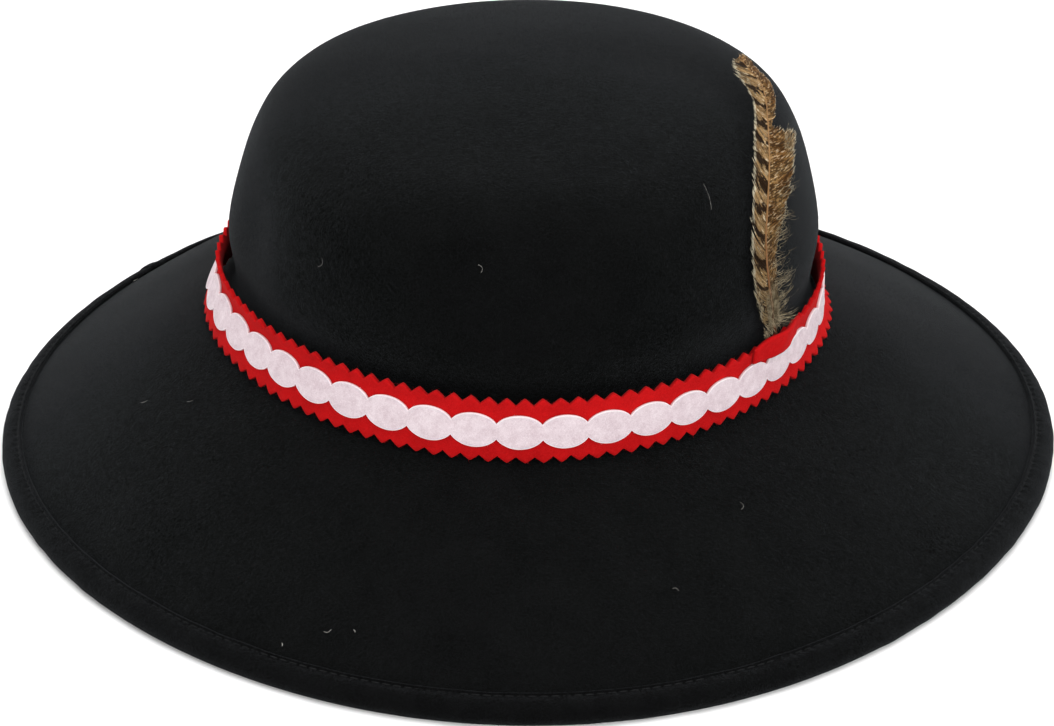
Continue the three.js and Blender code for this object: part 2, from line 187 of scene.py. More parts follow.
def band_lean(angle, up):
    """How far the band leans in at its top: even along its middle, turning towards both edges."""
    side = np.cos(angle)
    end = np.sin(angle)
    middle = LEAN["middle"] + LEAN["middle_side"] * side + LEAN["middle_end"] * end
    above = LEAN["upper_side"] + LEAN["upper_end"] * end**2
    below = LEAN["lower_left"] * np.maximum(0, side) ** LEAN["stretch"]
    below = below + LEAN["lower_right"] * np.maximum(0, -side)
    turn = ease(np.abs(up), BAND_STRAIGHT / 2 - BAND_BEND, BAND_STRAIGHT / 2 + BAND_BEND)
    return np.radians(middle + turn * (np.where(up > 0, above, below) - middle))


def band_point(angle, up, out):
    """A point of the band: up its width from the middle, and out from its middle surface."""
    angle, up, out = np.broadcast_arrays(np.asarray(angle, float), up, out)
    middle = band_plan(angle)
    step = 0.01
    along = band_plan(angle + step) - band_plan(angle - step)
    away = unit(np.stack([along[..., 1], -along[..., 0]], axis=-1))
    facing = band_lean(angle, up)
    shift = out * np.cos(facing)
    rise = out * np.sin(facing)
    steps = 12
    for i in range(steps):
        lean = band_lean(angle, up * (i + 0.5) / steps)
        shift = shift - up / steps * np.sin(lean)
        rise = rise + up / steps * np.cos(lean)
    plan = middle + away * shift[..., None]
    fall = BAND_FALL * (middle[..., 0] - BAND_MIDDLE[0]) / BAND["half_width"]
    return np.concatenate([plan, (BAND_HEIGHT - fall + rise)[..., None]], axis=-1)


def crown_point(angle, place):
    """The crown's outer skin at a place counted in sections from the foot up."""
    sections = [(reach, rise / CROWN_SCALE, power) for rise, reach, power in CROWN_SECTIONS]
    beyond_top = (-sections[-2][0], *sections[-2][1:])
    reach, height, power = smooth_line([*sections, beyond_top], np.array([place]))[0]
    rise = height * CROWN_SCALE
    up = np.clip((BAND_HEIGHT + rise - CREASE["low"]) / (CREASE["high"] - CREASE["low"]), 0, 1)
    dent = dent_depth(CREASE, angle) * np.sin(math.pi * up) ** 2
    plan = oval(angle, **CROWN, power=power, back_power=CROWN_BACK_POWER) * reach
    plan = plan * (1 - dent / CROWN["half_width"])[:, None] + CROWN_MIDDLE
    plan[:, 0] += CROWN_LEAN * rise / CROWN_SECTIONS[-1][0]
    return np.column_stack([plan, np.full(len(angle), BAND_HEIGHT + rise)])


def brim_edge(angle):
    """The brim's outer edge, on which the binding is folded."""
    ripple = np.zeros_like(angle)
    for waves, with_cosine, with_sine in BRIM_RIPPLES:
        ripple += with_cosine * np.cos(waves * angle) + with_sine * np.sin(waves * angle)
    plan = oval(angle, **BRIM) * (1 + ripple / BRIM["half_width"])[:, None] + BRIM_MIDDLE
    return np.column_stack([plan, np.full(len(angle), BRIM_EDGE_HEIGHT)])


def body_rows(angle):
    """The body's outer skin from the brim's edge up towards the middle of the crown."""
    seat = band_point(angle, -BAND_STRIP / 2, -BAND_THICKNESS / 2)
    seat[:, 2] -= TOUCH
    edge = brim_edge(angle)
    rows = []
    for share in np.linspace(1, 0, BRIM_ROWS, endpoint=False):
        row = seat + (edge - seat) * share
        row[:, 2] += 4 * BRIM_BULGE * share * (1 - share)
        rows.append(row)
    wall = crown_point(angle, 0)
    corner = np.column_stack([wall[:, :2], seat[:, 2] + BRIM_FOOT_RISE])
    for share in np.linspace(0, 1, FOOT_ROWS, endpoint=False):
        rows.append(seat * (1 - share) ** 2 + corner * 2 * share * (1 - share) + wall * share**2)
    last = len(CROWN_SECTIONS) - 1
    for place in np.linspace(0, last, CROWN_ROWS, endpoint=False):
        rows.append(crown_point(angle, place))
    return np.stack(rows, axis=1)


def skin_normals(grid):
    """Outward directions of a grid that runs round the hat in columns and up it in rows."""
    around = np.roll(grid, -1, axis=0) - np.roll(grid, 1, axis=0)
    return unit(np.cross(around, np.gradient(grid, axis=1)))


def grid_faces(columns, rows, ring, closed):
    """Quads of a grid of points kept column by column. ring joins the last column to the first,
    and closed joins the last row to the first."""
    column, row = np.meshgrid(
        np.arange(columns if ring else columns - 1),
        np.arange(rows if closed else rows - 1),
        indexing="ij",
    )
    here = column * rows + row
    beside = (column + 1) % columns * rows + row
    above = column * rows + (row + 1) % rows
    corner = (column + 1) % columns * rows + (row + 1) % rows
    return np.stack([here, beside, corner, above], axis=-1).reshape(-1, 4).tolist()


def make_piece(name, points, faces, material):
    """A smooth mesh object of closed bodies, turned so that its faces point outwards."""
    points = np.asarray(points, float).reshape(-1, 3)
    volume = 0.0
    for size in (3, 4):
        group = np.array([face for face in faces if len(face) == size])
        if len(group):
            corners = points[group]
            volume += np.einsum("ij,ij->", corners[:, 0], np.cross(corners[:, 1], corners[:, 2]))
        if size == 4 and len(group):
            volume += np.einsum("ij,ij->", corners[:, 0], np.cross(corners[:, 2], corners[:, 3]))
    if volume < 0:
        faces = [face[::-1] for face in faces]
    mesh = bpy.data.meshes.new(name)
    mesh.from_pydata(points.tolist(), [], faces)
    mesh.shade_smooth()
    mesh.materials.append(material)
    piece = bpy.data.objects.new(name, mesh)
    bpy.context.scene.collection.objects.link(piece)
    return piece


def add_node(tree, kind, inputs=None, **settings):
    """A node with its settings, its inputs given as values or as other nodes' outputs."""
    made = tree.nodes.new(kind)
    for key, value in settings.items():
        setattr(made, key, value)
    for key, value in (inputs or {}).items():
        socket = next(s for s in made.inputs if key in (s.identifier, s.name))
        if isinstance(value, bpy.types.NodeSocket):
            tree.links.new(value, socket)
        else:
            socket.default_value = value
    return made


def math_node(tree, operation, first, second=0.0):
    inputs = {"Value": first, "Value_001": second}
    return add_node(tree, "ShaderNodeMath", inputs, operation=operation).outputs[0]


def plus(tree, first, second):
    return math_node(tree, "ADD", first, second)


def times(tree, first, second):
    return math_node(tree, "MULTIPLY", first, second)


def mix_colours(tree, share, first, second, blend="MIX"):
    inputs = {"Factor_Float": share, "A_Color": first, "B_Color": second}
    made = add_node(tree, "ShaderNodeMix", inputs, data_type="RGBA", blend_type=blend)
    return next(s for s in made.outputs if s.identifier == "Result_Color")


def shaded(tree, colour, amount):
    """A colour made darker or lighter by a changing amount."""
    return mix_colours(tree, 1.0, colour, amount, blend="MULTIPLY")


def stretch_range(tree, value, low, high, to_low=0.0, to_high=1.0):
    """value from low to high, brought to to_low to to_high and held there."""
    inputs = {"Value": value, "From Min": low, "From Max": high, "To Min": to_low, "To Max": to_high}
    return add_node(tree, "ShaderNodeMapRange", inputs).outputs[0]


def noise_node(tree, vector, size, detail=2.0, rough=0.5, distortion=0.0):
    """Noise whose blots are about size metres across."""
    inputs = {
        "Vector": vector,
        "Scale": 1 / size,
        "Detail": detail,
        "Roughness": rough,
        "Distortion": distortion,
    }
    return add_node(tree, "ShaderNodeTexNoise", inputs).outputs[0]


def object_place(tree):
    return tree.nodes.new("ShaderNodeTexCoord").outputs["Object"]


def new_finish(name, settings):
    """A material with its node tree and its shader, whose sockets are set to the given values."""
    material = bpy.data.materials.new(name)
    material.use_nodes = True
    tree = material.node_tree
    tree.nodes.clear()
    shader = add_node(tree, "ShaderNodeBsdfPrincipled", settings)
    output = tree.nodes.new("ShaderNodeOutputMaterial")
    tree.links.new(shader.outputs[0], output.inputs[0])
    return material, tree, shader


def felt_finish(name, deep, body, bright, pile, cloud, relief, sheen, sheen_tint, gloss=0.04):
    """Felt: a pile of short crossing fibres, clouded in tone, with a soft sheen."""
    settings = {
        "Roughness": 0.95,
        "Specular IOR Level": gloss,
        "Sheen Weight": sheen,
        "Sheen Roughness": 0.32,
        "Sheen Tint": (*sheen_tint, 1),
    }
    material, tree, shader = new_finish(name, settings)
    place = object_place(tree)
    clouds = noise_node(tree, place, cloud, detail=3.0)
    fibres = noise_node(tree, place, pile, detail=4.0, rough=0.62, distortion=1.6)
    hairs = noise_node(tree, place, pile * LONG_HAIRS["size"], distortion=3.2)
    lines = math_node(tree, "ABSOLUTE", math_node(tree, "SUBTRACT", hairs, 0.5))
    lines = stretch_range(tree, lines, 0.0, LONG_HAIRS["thin"], 1.0, 0.0)
    fine = times(tree, fibres, FELT_TONE["fibres"])
    tone = plus(tree, fine, times(tree, clouds, FELT_TONE["clouds"]))
    tone = stretch_range(tree, tone, FELT_TONE["low"], FELT_TONE["high"])
    colour = mix_colours(tree, tone, (*deep, 1), (*body, 1))
    colour = mix_colours(tree, times(tree, lines, LONG_HAIRS["bright"]), colour, (*bright, 1))
    tree.links.new(colour, shader.inputs["Base Color"])
    height = plus(tree, fibres, times(tree, lines, LONG_HAIRS["height"]))
    inputs = {"Strength": relief, "Distance": FELT_RELIEF, "Height": height}
    bump = add_node(tree, "ShaderNodeBump", inputs)
    tree.links.new(bump.outputs[0], shader.inputs["Normal"])
    return material


def felt_body():
    angle = np.arange(BODY_COLUMNS) / BODY_COLUMNS * 2 * math.pi
    grid = body_rows(angle)
    rows = grid.shape[1]
    place = np.arange(rows)
    brim_top = BRIM_ROWS - 1
    crown_foot = BRIM_ROWS + FOOT_ROWS
    free = ease(place, 1, 1 + FADE_ROWS) * (1 - ease(place, brim_top - FADE_ROWS, brim_top))
    free = free + ease(place, *(crown_foot + row for row in ABOVE_BAND_ROWS))
    waves = soft_waves(grid, UNEVEN["size"], UNEVEN["waves"], UNEVEN["seed"])
    grid = grid + skin_normals(grid) * (UNEVEN["depth"] * waves * free)[..., None]
    top = np.array([*CROWN_MIDDLE, BAND_HEIGHT + CROWN_SECTIONS[-1][0]])
    top[0] += CROWN_LEAN
    inner = grid - skin_normals(grid) * FELT
    half = BODY_COLUMNS * rows
    points = np.vstack([grid.reshape(-1, 3), inner.reshape(-1, 3), top, top - (0, 0, FELT)])
    faces = grid_faces(BODY_COLUMNS, rows, ring=True, closed=False)
    faces += [[half + corner for corner in face[::-1]] for face in faces]
    for i in range(BODY_COLUMNS):
        here = i * rows
        beside = (i + 1) % BODY_COLUMNS * rows
        faces.append([here + rows - 1, beside + rows - 1, 2 * half])
        faces.append([half + beside + rows - 1, half + here + rows - 1, 2 * half + 1])
        faces.append([here, half + here, half + beside, beside])
    return make_piece("black_felt_hat_body", points, faces, black_felt)


black_felt = felt_finish(
    "black blocked felt",
    deep=(0.0012, 0.0013, 0.0013),
    body=(0.0032, 0.0034, 0.0034),
    bright=(0.011, 0.012, 0.013),
    pile=0.7 * MM,
    cloud=14 * MM,
    relief=0.8,
    sheen=0.07,
    sheen_tint=(0.86, 0.93, 1.0),
)
body = felt_body()
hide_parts("felt_body")
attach(body, "root")


# The nap of the felt
# Short stray fibres of the same black wool stand out of the whole skin. They soften the hat's
# outline, and each is a fine curved hair.
BLACK_NAP = {
    "Hairs per square metre": 92000.0,
    "Length": 1.5 * MM,
    "Thickness": 0.022 * MM,
    "Stand": 0.35,
    "Bend": 0.5 * MM,
    "Seed": 11,
}


def new_grower(name, inputs):
    """An empty tree of Geometry Nodes with named inputs, and the sockets that hand them on."""
    tree = bpy.data.node_groups.new(name, "GeometryNodeTree")
    for label, kind in inputs.items():
        tree.interface.new_socket(label, in_out="INPUT", socket_type="NodeSocket" + kind)
    tree.interface.new_socket("Grown", in_out="OUTPUT", socket_type="NodeSocketGeometry")
    return tree, tree.nodes.new("NodeGroupInput").outputs


def put_copies(tree, finish, inputs):
    """Ends a tree: copies of a shape stand on its points, are made real and get their finish."""
    placed = add_node(tree, "GeometryNodeInstanceOnPoints", inputs)
    real = add_node(tree, "GeometryNodeRealizeInstances", {"Geometry": placed.outputs[0]})
    settings = {"Geometry": real.outputs[0], "Material": finish}
    painted = add_node(tree, "GeometryNodeSetMaterial", settings)
    output = tree.nodes.new("NodeGroupOutput")
    tree.links.new(painted.outputs[0], output.inputs[0])


def nap_tree():
    """Scatters curved hairs over a mesh, leaning at random, more of them where nap is high."""
    tree, given = new_grower(
        "nap of hairs",
        {
            "Skin": "Geometry",
            "Hairs per square metre": "Float",
            "Length": "Float",
            "Thickness": "Float",
            "Stand": "Float",
            "Bend": "Float",
            "Seed": "Int",
            "Finish": "Material",
        },
    )
    where = add_node(tree, "GeometryNodeInputNamedAttribute", {"Name": "nap"}, data_type="FLOAT")
    density = times(tree, given["Hairs per square metre"], where.outputs[0])
    scatter = add_node(
        tree,
        "GeometryNodeDistributePointsOnFaces",
        {"Mesh": given["Skin"], "Density": density, "Seed": given["Seed"]},
    )
    hair = add_node(
        tree,
        "GeometryNodeMeshCone",
        {
            "Vertices": 3,
            "Side Segments": 3,
            "Radius Top": 0.0,
            "Radius Bottom": given["Thickness"],
            "Depth": given["Length"],
        },
    )
    position = tree.nodes.new("GeometryNodeInputPosition").outputs[0]
    height = add_node(tree, "ShaderNodeSeparateXYZ", {"Vector": position}).outputs["Z"]
    share = math_node(tree, "DIVIDE", height, given["Length"])
    aside = times(tree, times(tree, share, share), given["Bend"])
    offset = add_node(tree, "ShaderNodeCombineXYZ", {"X": aside})
    inputs = {"Geometry": hair.outputs["Mesh"], "Offset": offset.outputs[0]}
    bent = add_node(tree, "GeometryNodeSetPosition", inputs)
    lean = add_node(
        tree,
        "FunctionNodeRandomValue",
        {"Min": (-1, -1, -1), "Max": (1, 1, 1), "Seed": given["Seed"]},
        data_type="FLOAT_VECTOR",
    )
    stand = add_node(
        tree,
        "ShaderNodeVectorMath",
        {"Vector": scatter.outputs["Normal"], "Scale": given["Stand"]},
        operation="SCALE",
    )
    heading = add_node(
        tree,
        "ShaderNodeVectorMath",
        {"Vector": lean.outputs[0], "Vector_001": stand.outputs[0]},
        operation="ADD",
    )
    inputs = {"Vector": heading.outputs[0]}
    turned = add_node(tree, "FunctionNodeAlignRotationToVector", inputs, axis="Z")
    inputs = {"Min_001": 0.5, "Max_001": 1.5, "Seed": plus(tree, given["Seed"], 1)}
    spread = add_node(tree, "FunctionNodeRandomValue", inputs, data_type="FLOAT")
    put_copies(
        tree,
        given["Finish"],
        {
            "Points": scatter.outputs["Points"],
            "Instance": bent.outputs[0],
            "Rotation": turned.outputs[0],
            "Scale": next(s for s in spread.outputs if s.enabled),
        },
    )
    return tree


def grown(name, source, tree, sizes, finish):
    """What a node tree makes of a mesh, as a plain mesh piece of its own."""
    values = {**sizes, "Finish": finish}
    piece = bpy.data.objects.new(name, source.data.copy())
    bpy.context.scene.collection.objects.link(piece)
    grower = piece.modifiers.new("grow", "NODES")
    grower.node_group = tree
    for item in tree.interface.items_tree:
        if item.item_type == "SOCKET" and item.in_out == "INPUT" and item.name in values:
            grower[item.identifier] = values[item.name]
    evaluated = piece.evaluated_get(bpy.context.evaluated_depsgraph_get())
    mesh = bpy.data.meshes.new_from_object(evaluated)
    piece.modifiers.remove(grower)
    piece.data = mesh
    mesh.name = name
    return piece


def set_attribute(piece, name, values):
    """Keeps a number at each point of a mesh, for a tree or a finish to read."""
    attribute = piece.data.attributes.new(name, "FLOAT", "POINT")
    attribute.data.foreach_set("value", np.asarray(values, np.float32).ravel())


def hair_finish(name, colour):
    """Plain dull fibre, a little lighter and darker from place to place."""
    material, tree, shader = new_finish(name, {"Roughness": 0.8, "Specular IOR Level": 0.2})
    tone = stretch_range(tree, noise_node(tree, object_place(tree), 2.5 * MM), 0.35, 0.65, 0.6, 1.3)
    tree.links.new(shaded(tree, (*colour, 1), tone), shader.inputs["Base Color"])
    return material


nap_hairs = nap_tree()
outer_points = BODY_COLUMNS * (BRIM_ROWS + FOOT_ROWS + CROWN_ROWS)
set_attribute(body, "nap", np.arange(len(body.data.vertices)) < outer_points)
black_hair = hair_finish("black felt hair", (0.0062, 0.0068, 0.0075))
nap = grown("black_felt_nap", body, nap_hairs, BLACK_NAP, black_hair)
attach(nap, "root")

# The edge binding
# A strip of softer black felt is folded over the brim's edge and stitched through close to its
# inner side, which pulls a puckered groove. Its two ends overlap at the wearer's right back.
BINDING = {
    "fold": 6.0 * MM,
    "thickness": 1.7 * MM,
    "nose": 2.4 * MM,
    "play": 0.3 * MM,
}
STITCH_PITCH = 3.2 * MM
STITCH_INSET = 1.1 * MM
COLUMNS_PER_STITCH = 4
BINDING_ROWS = 34
GROOVE = 0.35 * MM
# How deep the stitches pull the groove down, how unevenly, and how much of that between them
PUCKER = 0.55 * MM
PULL = (0.75, 1.25)
PUCKER_WAVE = {"mean": 0.72, "swing": 0.28}
PUFF = 0.07 * MM
# What lies lower than this rests on the floor and keeps its shape
RESTING = 0.5 * MM
# The overlapped end: where it is, how far it runs and rises, and its columns
OVERLAP = {"angle": 141.8, "length": 7 * MM, "lift": 0.55 * MM, "sink": 0.1 * MM, "columns": 18}


def even_angles(plan, count, phase=0.0):
    """Angles that part an oval into equal lengths from its front, and the oval's whole length."""
    samples = 2880
    angle = FRONT + np.arange(samples + 1) / samples * 2 * math.pi
    points = plan(angle)[:, :2]
    lengths = np.concatenate([[0], np.cumsum(np.linalg.norm(np.diff(points, axis=0), axis=1))])
    total = lengths[-1]
    targets = (np.arange(count) / count * total + phase) % total
    return np.interp(targets, lengths, angle), total


def binding_outline(dip):
    """The binding's rounded section: along the brim's slope from its edge, and square to it from
    its upper skin. dip presses the stitched groove down."""
    fold = BINDING["fold"]
    play = BINDING["play"]
    top = play + BINDING["thickness"]
    under = -FELT - play
    bottom = under - BINDING["thickness"]
    nose = BINDING["nose"]
    outer = [
        (-fold, play),
        (-fold - 0.1 * MM, play + 0.6 * MM),
        (-fold + 0.25 * MM, top - 0.5 * MM),
        (-fold + STITCH_INSET, top - GROOVE - dip),
        (-fold + 2.3 * MM, top - 0.05 * MM - 0.3 * dip),
        (-2.2 * MM, top + 0.15 * MM),
        (0.3 * MM, top - 0.15 * MM),
        (nose - 0.5 * MM, top - 1.5 * MM),
        (nose, -0.9 * MM),
        (nose - 0.3 * MM, under - 0.5 * MM),
        (nose - 1.6 * MM, bottom + 0.2 * MM),
        (-1.5 * MM, bottom),
        (-fold + 0.5 * MM, bottom),
        (-fold, under),
    ]
    rounded = smooth_line(outer, np.linspace(0, len(outer) - 1, BINDING_ROWS - 2))
    return np.vstack([rounded, (play, under), (play, play)])


def lay_on_brim(angle, outlines):
    """Outlines kept in the brim's own section, one an angle, laid along its slope there."""
    edge = brim_edge(angle)
    above = body_rows(angle)[:, BRIM_ROWS // 6]
    away = edge[:, :2] - above[:, :2]
    run = np.linalg.norm(away, axis=1)
    slope = np.arctan2(above[:, 2] - edge[:, 2], run)[:, None]
    away = away / run[:, None]
    out = outlines[..., 0] * np.cos(slope) + outlines[..., 1] * np.sin(slope)
    up = outlines[..., 1] * np.cos(slope) - outlines[..., 0] * np.sin(slope)
    plan = edge[:, None, :2] + out[..., None] * away[:, None]
    height = np.maximum(0, edge[:, None, 2] + up)
    return np.concatenate([plan, height[..., None]], axis=-1)


def binding_sections(angle, dips):
    """The binding's sections at the given angles round the brim."""
    return lay_on_brim(angle, np.array([binding_outline(dip) for dip in dips]))


def swollen(sections, amount):
    """Sections pushed out from their middles, apart from what rests on the floor."""
    middle = sections.mean(axis=1, keepdims=True)
    return sections + unit(sections - middle) * amount * (sections[..., 2:] > RESTING)


def edge_binding():
    stitches = round(even_angles(brim_edge, 1)[1] / STITCH_PITCH)
    columns = stitches * COLUMNS_PER_STITCH
    angle, _ = even_angles(brim_edge, columns)
    turn = np.arange(columns) % COLUMNS_PER_STITCH / COLUMNS_PER_STITCH
    random = np.random.default_rng(21)
    pull = np.repeat(random.uniform(*PULL, stitches), COLUMNS_PER_STITCH)
    wave = PUCKER_WAVE["mean"] + PUCKER_WAVE["swing"] * np.cos(2 * math.pi * turn)
    sections = binding_sections(angle, PUCKER * pull * wave)
    broad = soft_waves(sections, size=17 * MM, waves=10, seed=5)
    fine = soft_waves(sections, size=6 * MM, waves=10, seed=6)
    sections = swollen(sections, (broad + 0.7 * fine)[..., None] * PUFF)
    faces = grid_faces(columns, BINDING_ROWS, ring=True, closed=True)
    return make_piece("brim_edge_binding", sections, faces, binding_felt), angle


binding_felt = felt_finish(
    "black binding felt",
    deep=(0.0010, 0.0010, 0.0011),
    body=(0.0030, 0.0031, 0.0032),
    bright=(0.010, 0.011, 0.012),
    pile=0.6 * MM,
    cloud=7 * MM,
    relief=0.9,
    sheen=0.06,
    sheen_tint=(0.86, 0.93, 1.0),
)
binding, binding_angles = edge_binding()
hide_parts("edge_binding")
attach(binding, "root")


def overlapped_end():
    """The binding's last stretch, which rises out of the strip below it and ends in a step."""
    turn = OVERLAP["length"] / BRIM["half_width"]
    share = np.linspace(0, 1, OVERLAP["columns"])
    angle = math.radians(OVERLAP["angle"]) + (0.5 - share) * turn
    sections = binding_sections(angle, np.full(len(share), 0.5 * PUCKER))
    rise = ease(1 - share, 0, 0.6) - 0.25 * ease(1 - share, 0.9, 1)
    lift = OVERLAP["lift"] * rise - OVERLAP["sink"]
    sections = swollen(sections, lift[:, None, None])
    faces = grid_faces(len(share), BINDING_ROWS, ring=False, closed=True)
    last = (len(share) - 1) * BINDING_ROWS
    faces.append(list(range(BINDING_ROWS)))
    faces.append([last + row for row in reversed(range(BINDING_ROWS))])
    return make_piece("binding_overlapped_end", sections, faces, binding_felt)


binding_end = overlapped_end()
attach(binding_end, "root")


# The stitches of the binding
# One row of black thread holds the folded strip. Each stitch lies in the bottom of the groove,
# between two puckers.
THREAD = 0.42 * MM
STITCH_LENGTH = 2.5 * MM
# How far the middle of the thread lies over the groove, as a share of its width
STITCH_STAND = 0.4


def stitch_tree():
    """Lays equal rounded stitches along a line of edges."""
    tree, given = new_grower(
        "row of stitches",
        {
            "Line": "Geometry",
            "Stitches": "Int",
            "Length": "Float",
            "Thread": "Float",
            "Finish": "Material",
        },
    )
    curve = add_node(tree, "GeometryNodeMeshToCurve", {"Mesh": given["Line"]})
    inputs = {"Curve": curve.outputs[0], "Count": given["Stitches"]}
    spots = add_node(tree, "GeometryNodeCurveToPoints", inputs, mode="COUNT")
    bead = add_node(tree, "GeometryNodeMeshUVSphere", {"Segments": 6, "Rings": 5, "Radius": 0.5})
    inputs = {"X": given["Thread"], "Y": given["Thread"], "Z": given["Length"]}
    size = add_node(tree, "ShaderNodeCombineXYZ", inputs)
    inputs = {"Geometry": bead.outputs["Mesh"], "Scale": size.outputs[0]}
    stitch = add_node(tree, "GeometryNodeTransform", inputs)
    inputs = {"Vector": spots.outputs["Tangent"]}
    turned = add_node(tree, "FunctionNodeAlignRotationToVector", inputs, axis="Z")
    put_copies(
        tree,
        given["Finish"],
        {
            "Points": spots.outputs["Points"],
            "Instance": stitch.outputs[0],
            "Rotation": turned.outputs[0],
        },
    )
    return tree


def stitch_line():
    """A loop of edges along the bottom of the binding's groove, starting between two puckers."""
    inset = -BINDING["fold"] + STITCH_INSET
    height = BINDING["play"] + BINDING["thickness"] - GROOVE - PUCKER
    spot = np.array([[[inset, height + STITCH_STAND * THREAD]]])
    angle = np.roll(binding_angles, -COLUMNS_PER_STITCH // 2)
    points = lay_on_brim(angle, np.repeat(spot, len(angle), axis=0))[:, 0]
    mesh = bpy.data.meshes.new("stitch line")
    edges = [(i, (i + 1) % len(points)) for i in range(len(points))]
    mesh.from_pydata(points.tolist(), edges, [])
    return bpy.data.objects.new("stitch line", mesh)


stitch_count = len(binding_angles) // COLUMNS_PER_STITCH
stitch_sizes = {"Stitches": stitch_count, "Length": STITCH_LENGTH, "Thread": THREAD}
black_thread = hair_finish("black sewing thread", (0.006, 0.0065, 0.007))
stitches = grown("binding_stitches", stitch_line(), stitch_tree(), stitch_sizes, black_thread)
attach(stitches, "root")

# The red band
# A strip of bright red craft felt, cut along both edges with pinking shears and glued round the
# foot of the crown. The white strip holds its middle straight, and its edges turn out.
TOOTH_PITCH = 5.15 * MM
TOOTH_DEPTH = 2.0 * MM
TOOTH_UNEVEN = (0.88, 1.08)
TOOTH_ROUND = 0.12
COLUMNS_PER_TOOTH = 10
BAND_ROWS = 9
# How wide the band's cut rim is, and how far it is rounded
BAND_RIM = {"width": 0.12 * MM, "round": 0.22 * MM}
RED_NAP = {
    "Hairs per square metre": 3.2e6,
    "Length": 0.75 * MM,
    "Thickness": 0.018 * MM,
    "Stand": 0.5,
    "Bend": 0.3 * MM,
    "Seed": 17,
}


def strip_sections(angle, ups, outside, inside):
    """Closed sections of a strip round the band, from its low edge to its high one and back."""
    face = band_point(angle[:, None], ups, outside)
    back = band_point(angle[:, None], ups[:, ::-1], inside)
    return np.concatenate([face, back], axis=1)


def tooth_wave(place):
    """0 at a tooth's tip and 1 in the notch, with slightly rounded tips."""
    wave = np.abs(2 * (place % 1) - 1)
    rounded = np.sqrt(wave**2 + TOOTH_ROUND**2) - TOOTH_ROUND
    return rounded / (math.sqrt(1 + TOOTH_ROUND**2) - TOOTH_ROUND)


def red_band():
    teeth = round(even_angles(band_plan, 1)[1] / TOOTH_PITCH)
    columns = teeth * COLUMNS_PER_TOOTH
    angle, _ = even_angles(band_plan, columns)
    random = np.random.default_rng(8)
    depth = TOOTH_DEPTH * random.uniform(*TOOTH_UNEVEN, (teeth, 2))
    depth = np.repeat(depth, COLUMNS_PER_TOOTH, axis=0)
    wave = tooth_wave(np.arange(columns) / COLUMNS_PER_TOOTH)
    half = BAND_STRIP / 2
    low = half - depth[:, 0] * wave
    high = half - depth[:, 1] * wave
    # The deepest notch ends short of the band's plain middle
    plain = half - 1.25 * TOOTH_DEPTH
    middle = np.broadcast_to(np.linspace(-plain, plain, BAND_ROWS), (columns, BAND_ROWS))
    ups = np.column_stack([
        -low,
        -low + BAND_RIM["width"],
        -(low + plain) / 2,
        middle,
        (high + plain) / 2,
        high - BAND_RIM["width"],
        high,
    ])
    face = np.full(ups.shape, BAND_THICKNESS / 2)
    face[:, [0, -1]] -= BAND_RIM["round"]
    skin = band_point(angle[:, None], ups, 0)
    face = face + 0.07 * MM * soft_waves(skin, size=9 * MM, waves=14, seed=31)
    sections = strip_sections(angle, ups, face, -BAND_THICKNESS / 2)
    rows = sections.shape[1]
    faces = grid_faces(columns, rows, ring=True, closed=True)
    band = make_piece("red_pinked_band", sections, faces, red_felt)
    # Hairs stand thickly on the cut teeth and thinly elsewhere
    edge = np.zeros((columns, rows))
    edge[:, [0, ups.shape[1] - 1]] = 1.0
    edge[:, [1, ups.shape[1] - 2]] = 0.5
    edge[:, 2:-2] += 0.06
    set_attribute(band, "nap", edge)
    return band


red_felt = felt_finish(
    "red craft felt",
    deep=(0.36, 0.003, 0.004),
    body=(0.52, 0.0055, 0.0065),
    bright=(0.64, 0.022, 0.024),
    pile=0.55 * MM,
    cloud=6 * MM,
    relief=0.55,
    sheen=0.05,
    sheen_tint=(1.0, 0.35, 0.35),
    gloss=0.06,
)
band = red_band()
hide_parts("red_band")
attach(band, "root")

red_hair = hair_finish("red felt hair", (0.46, 0.008, 0.010))
band_nap = grown("red_band_nap", band, nap_hairs, RED_NAP, red_hair)
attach(band_nap, "root")

# The white strip
# One strip of thin pinkish-white felt, die cut as linked ovals that run into one another at
# narrow necks, and glued along the middle of the red band.
OVAL_PITCH = 12.8 * MM
OVAL_HEIGHT = 10 * MM
OVAL_NECK = 4.5 * MM
OVAL_PHASE = -5.4 * MM
COLUMNS_PER_OVAL = 26
WHITE_THICKNESS = 0.8 * MM
WHITE_GAP = 0.05 * MM
# Places across the strip from its low edge to its high one, closest together at its rims
WHITE_ROWS = np.array([-1, -0.985, -0.93, -0.8, -0.5, -0.17, 0.17, 0.5, 0.8, 0.93, 0.985, 1])
WHITE_NAP = {
    "Hairs per square metre": 1.6e6,
    "Length": 0.5 * MM,
    "Thickness": 0.014 * MM,
    "Stand": 0.4,
    "Bend": 0.2 * MM,
    "Seed": 23,
}


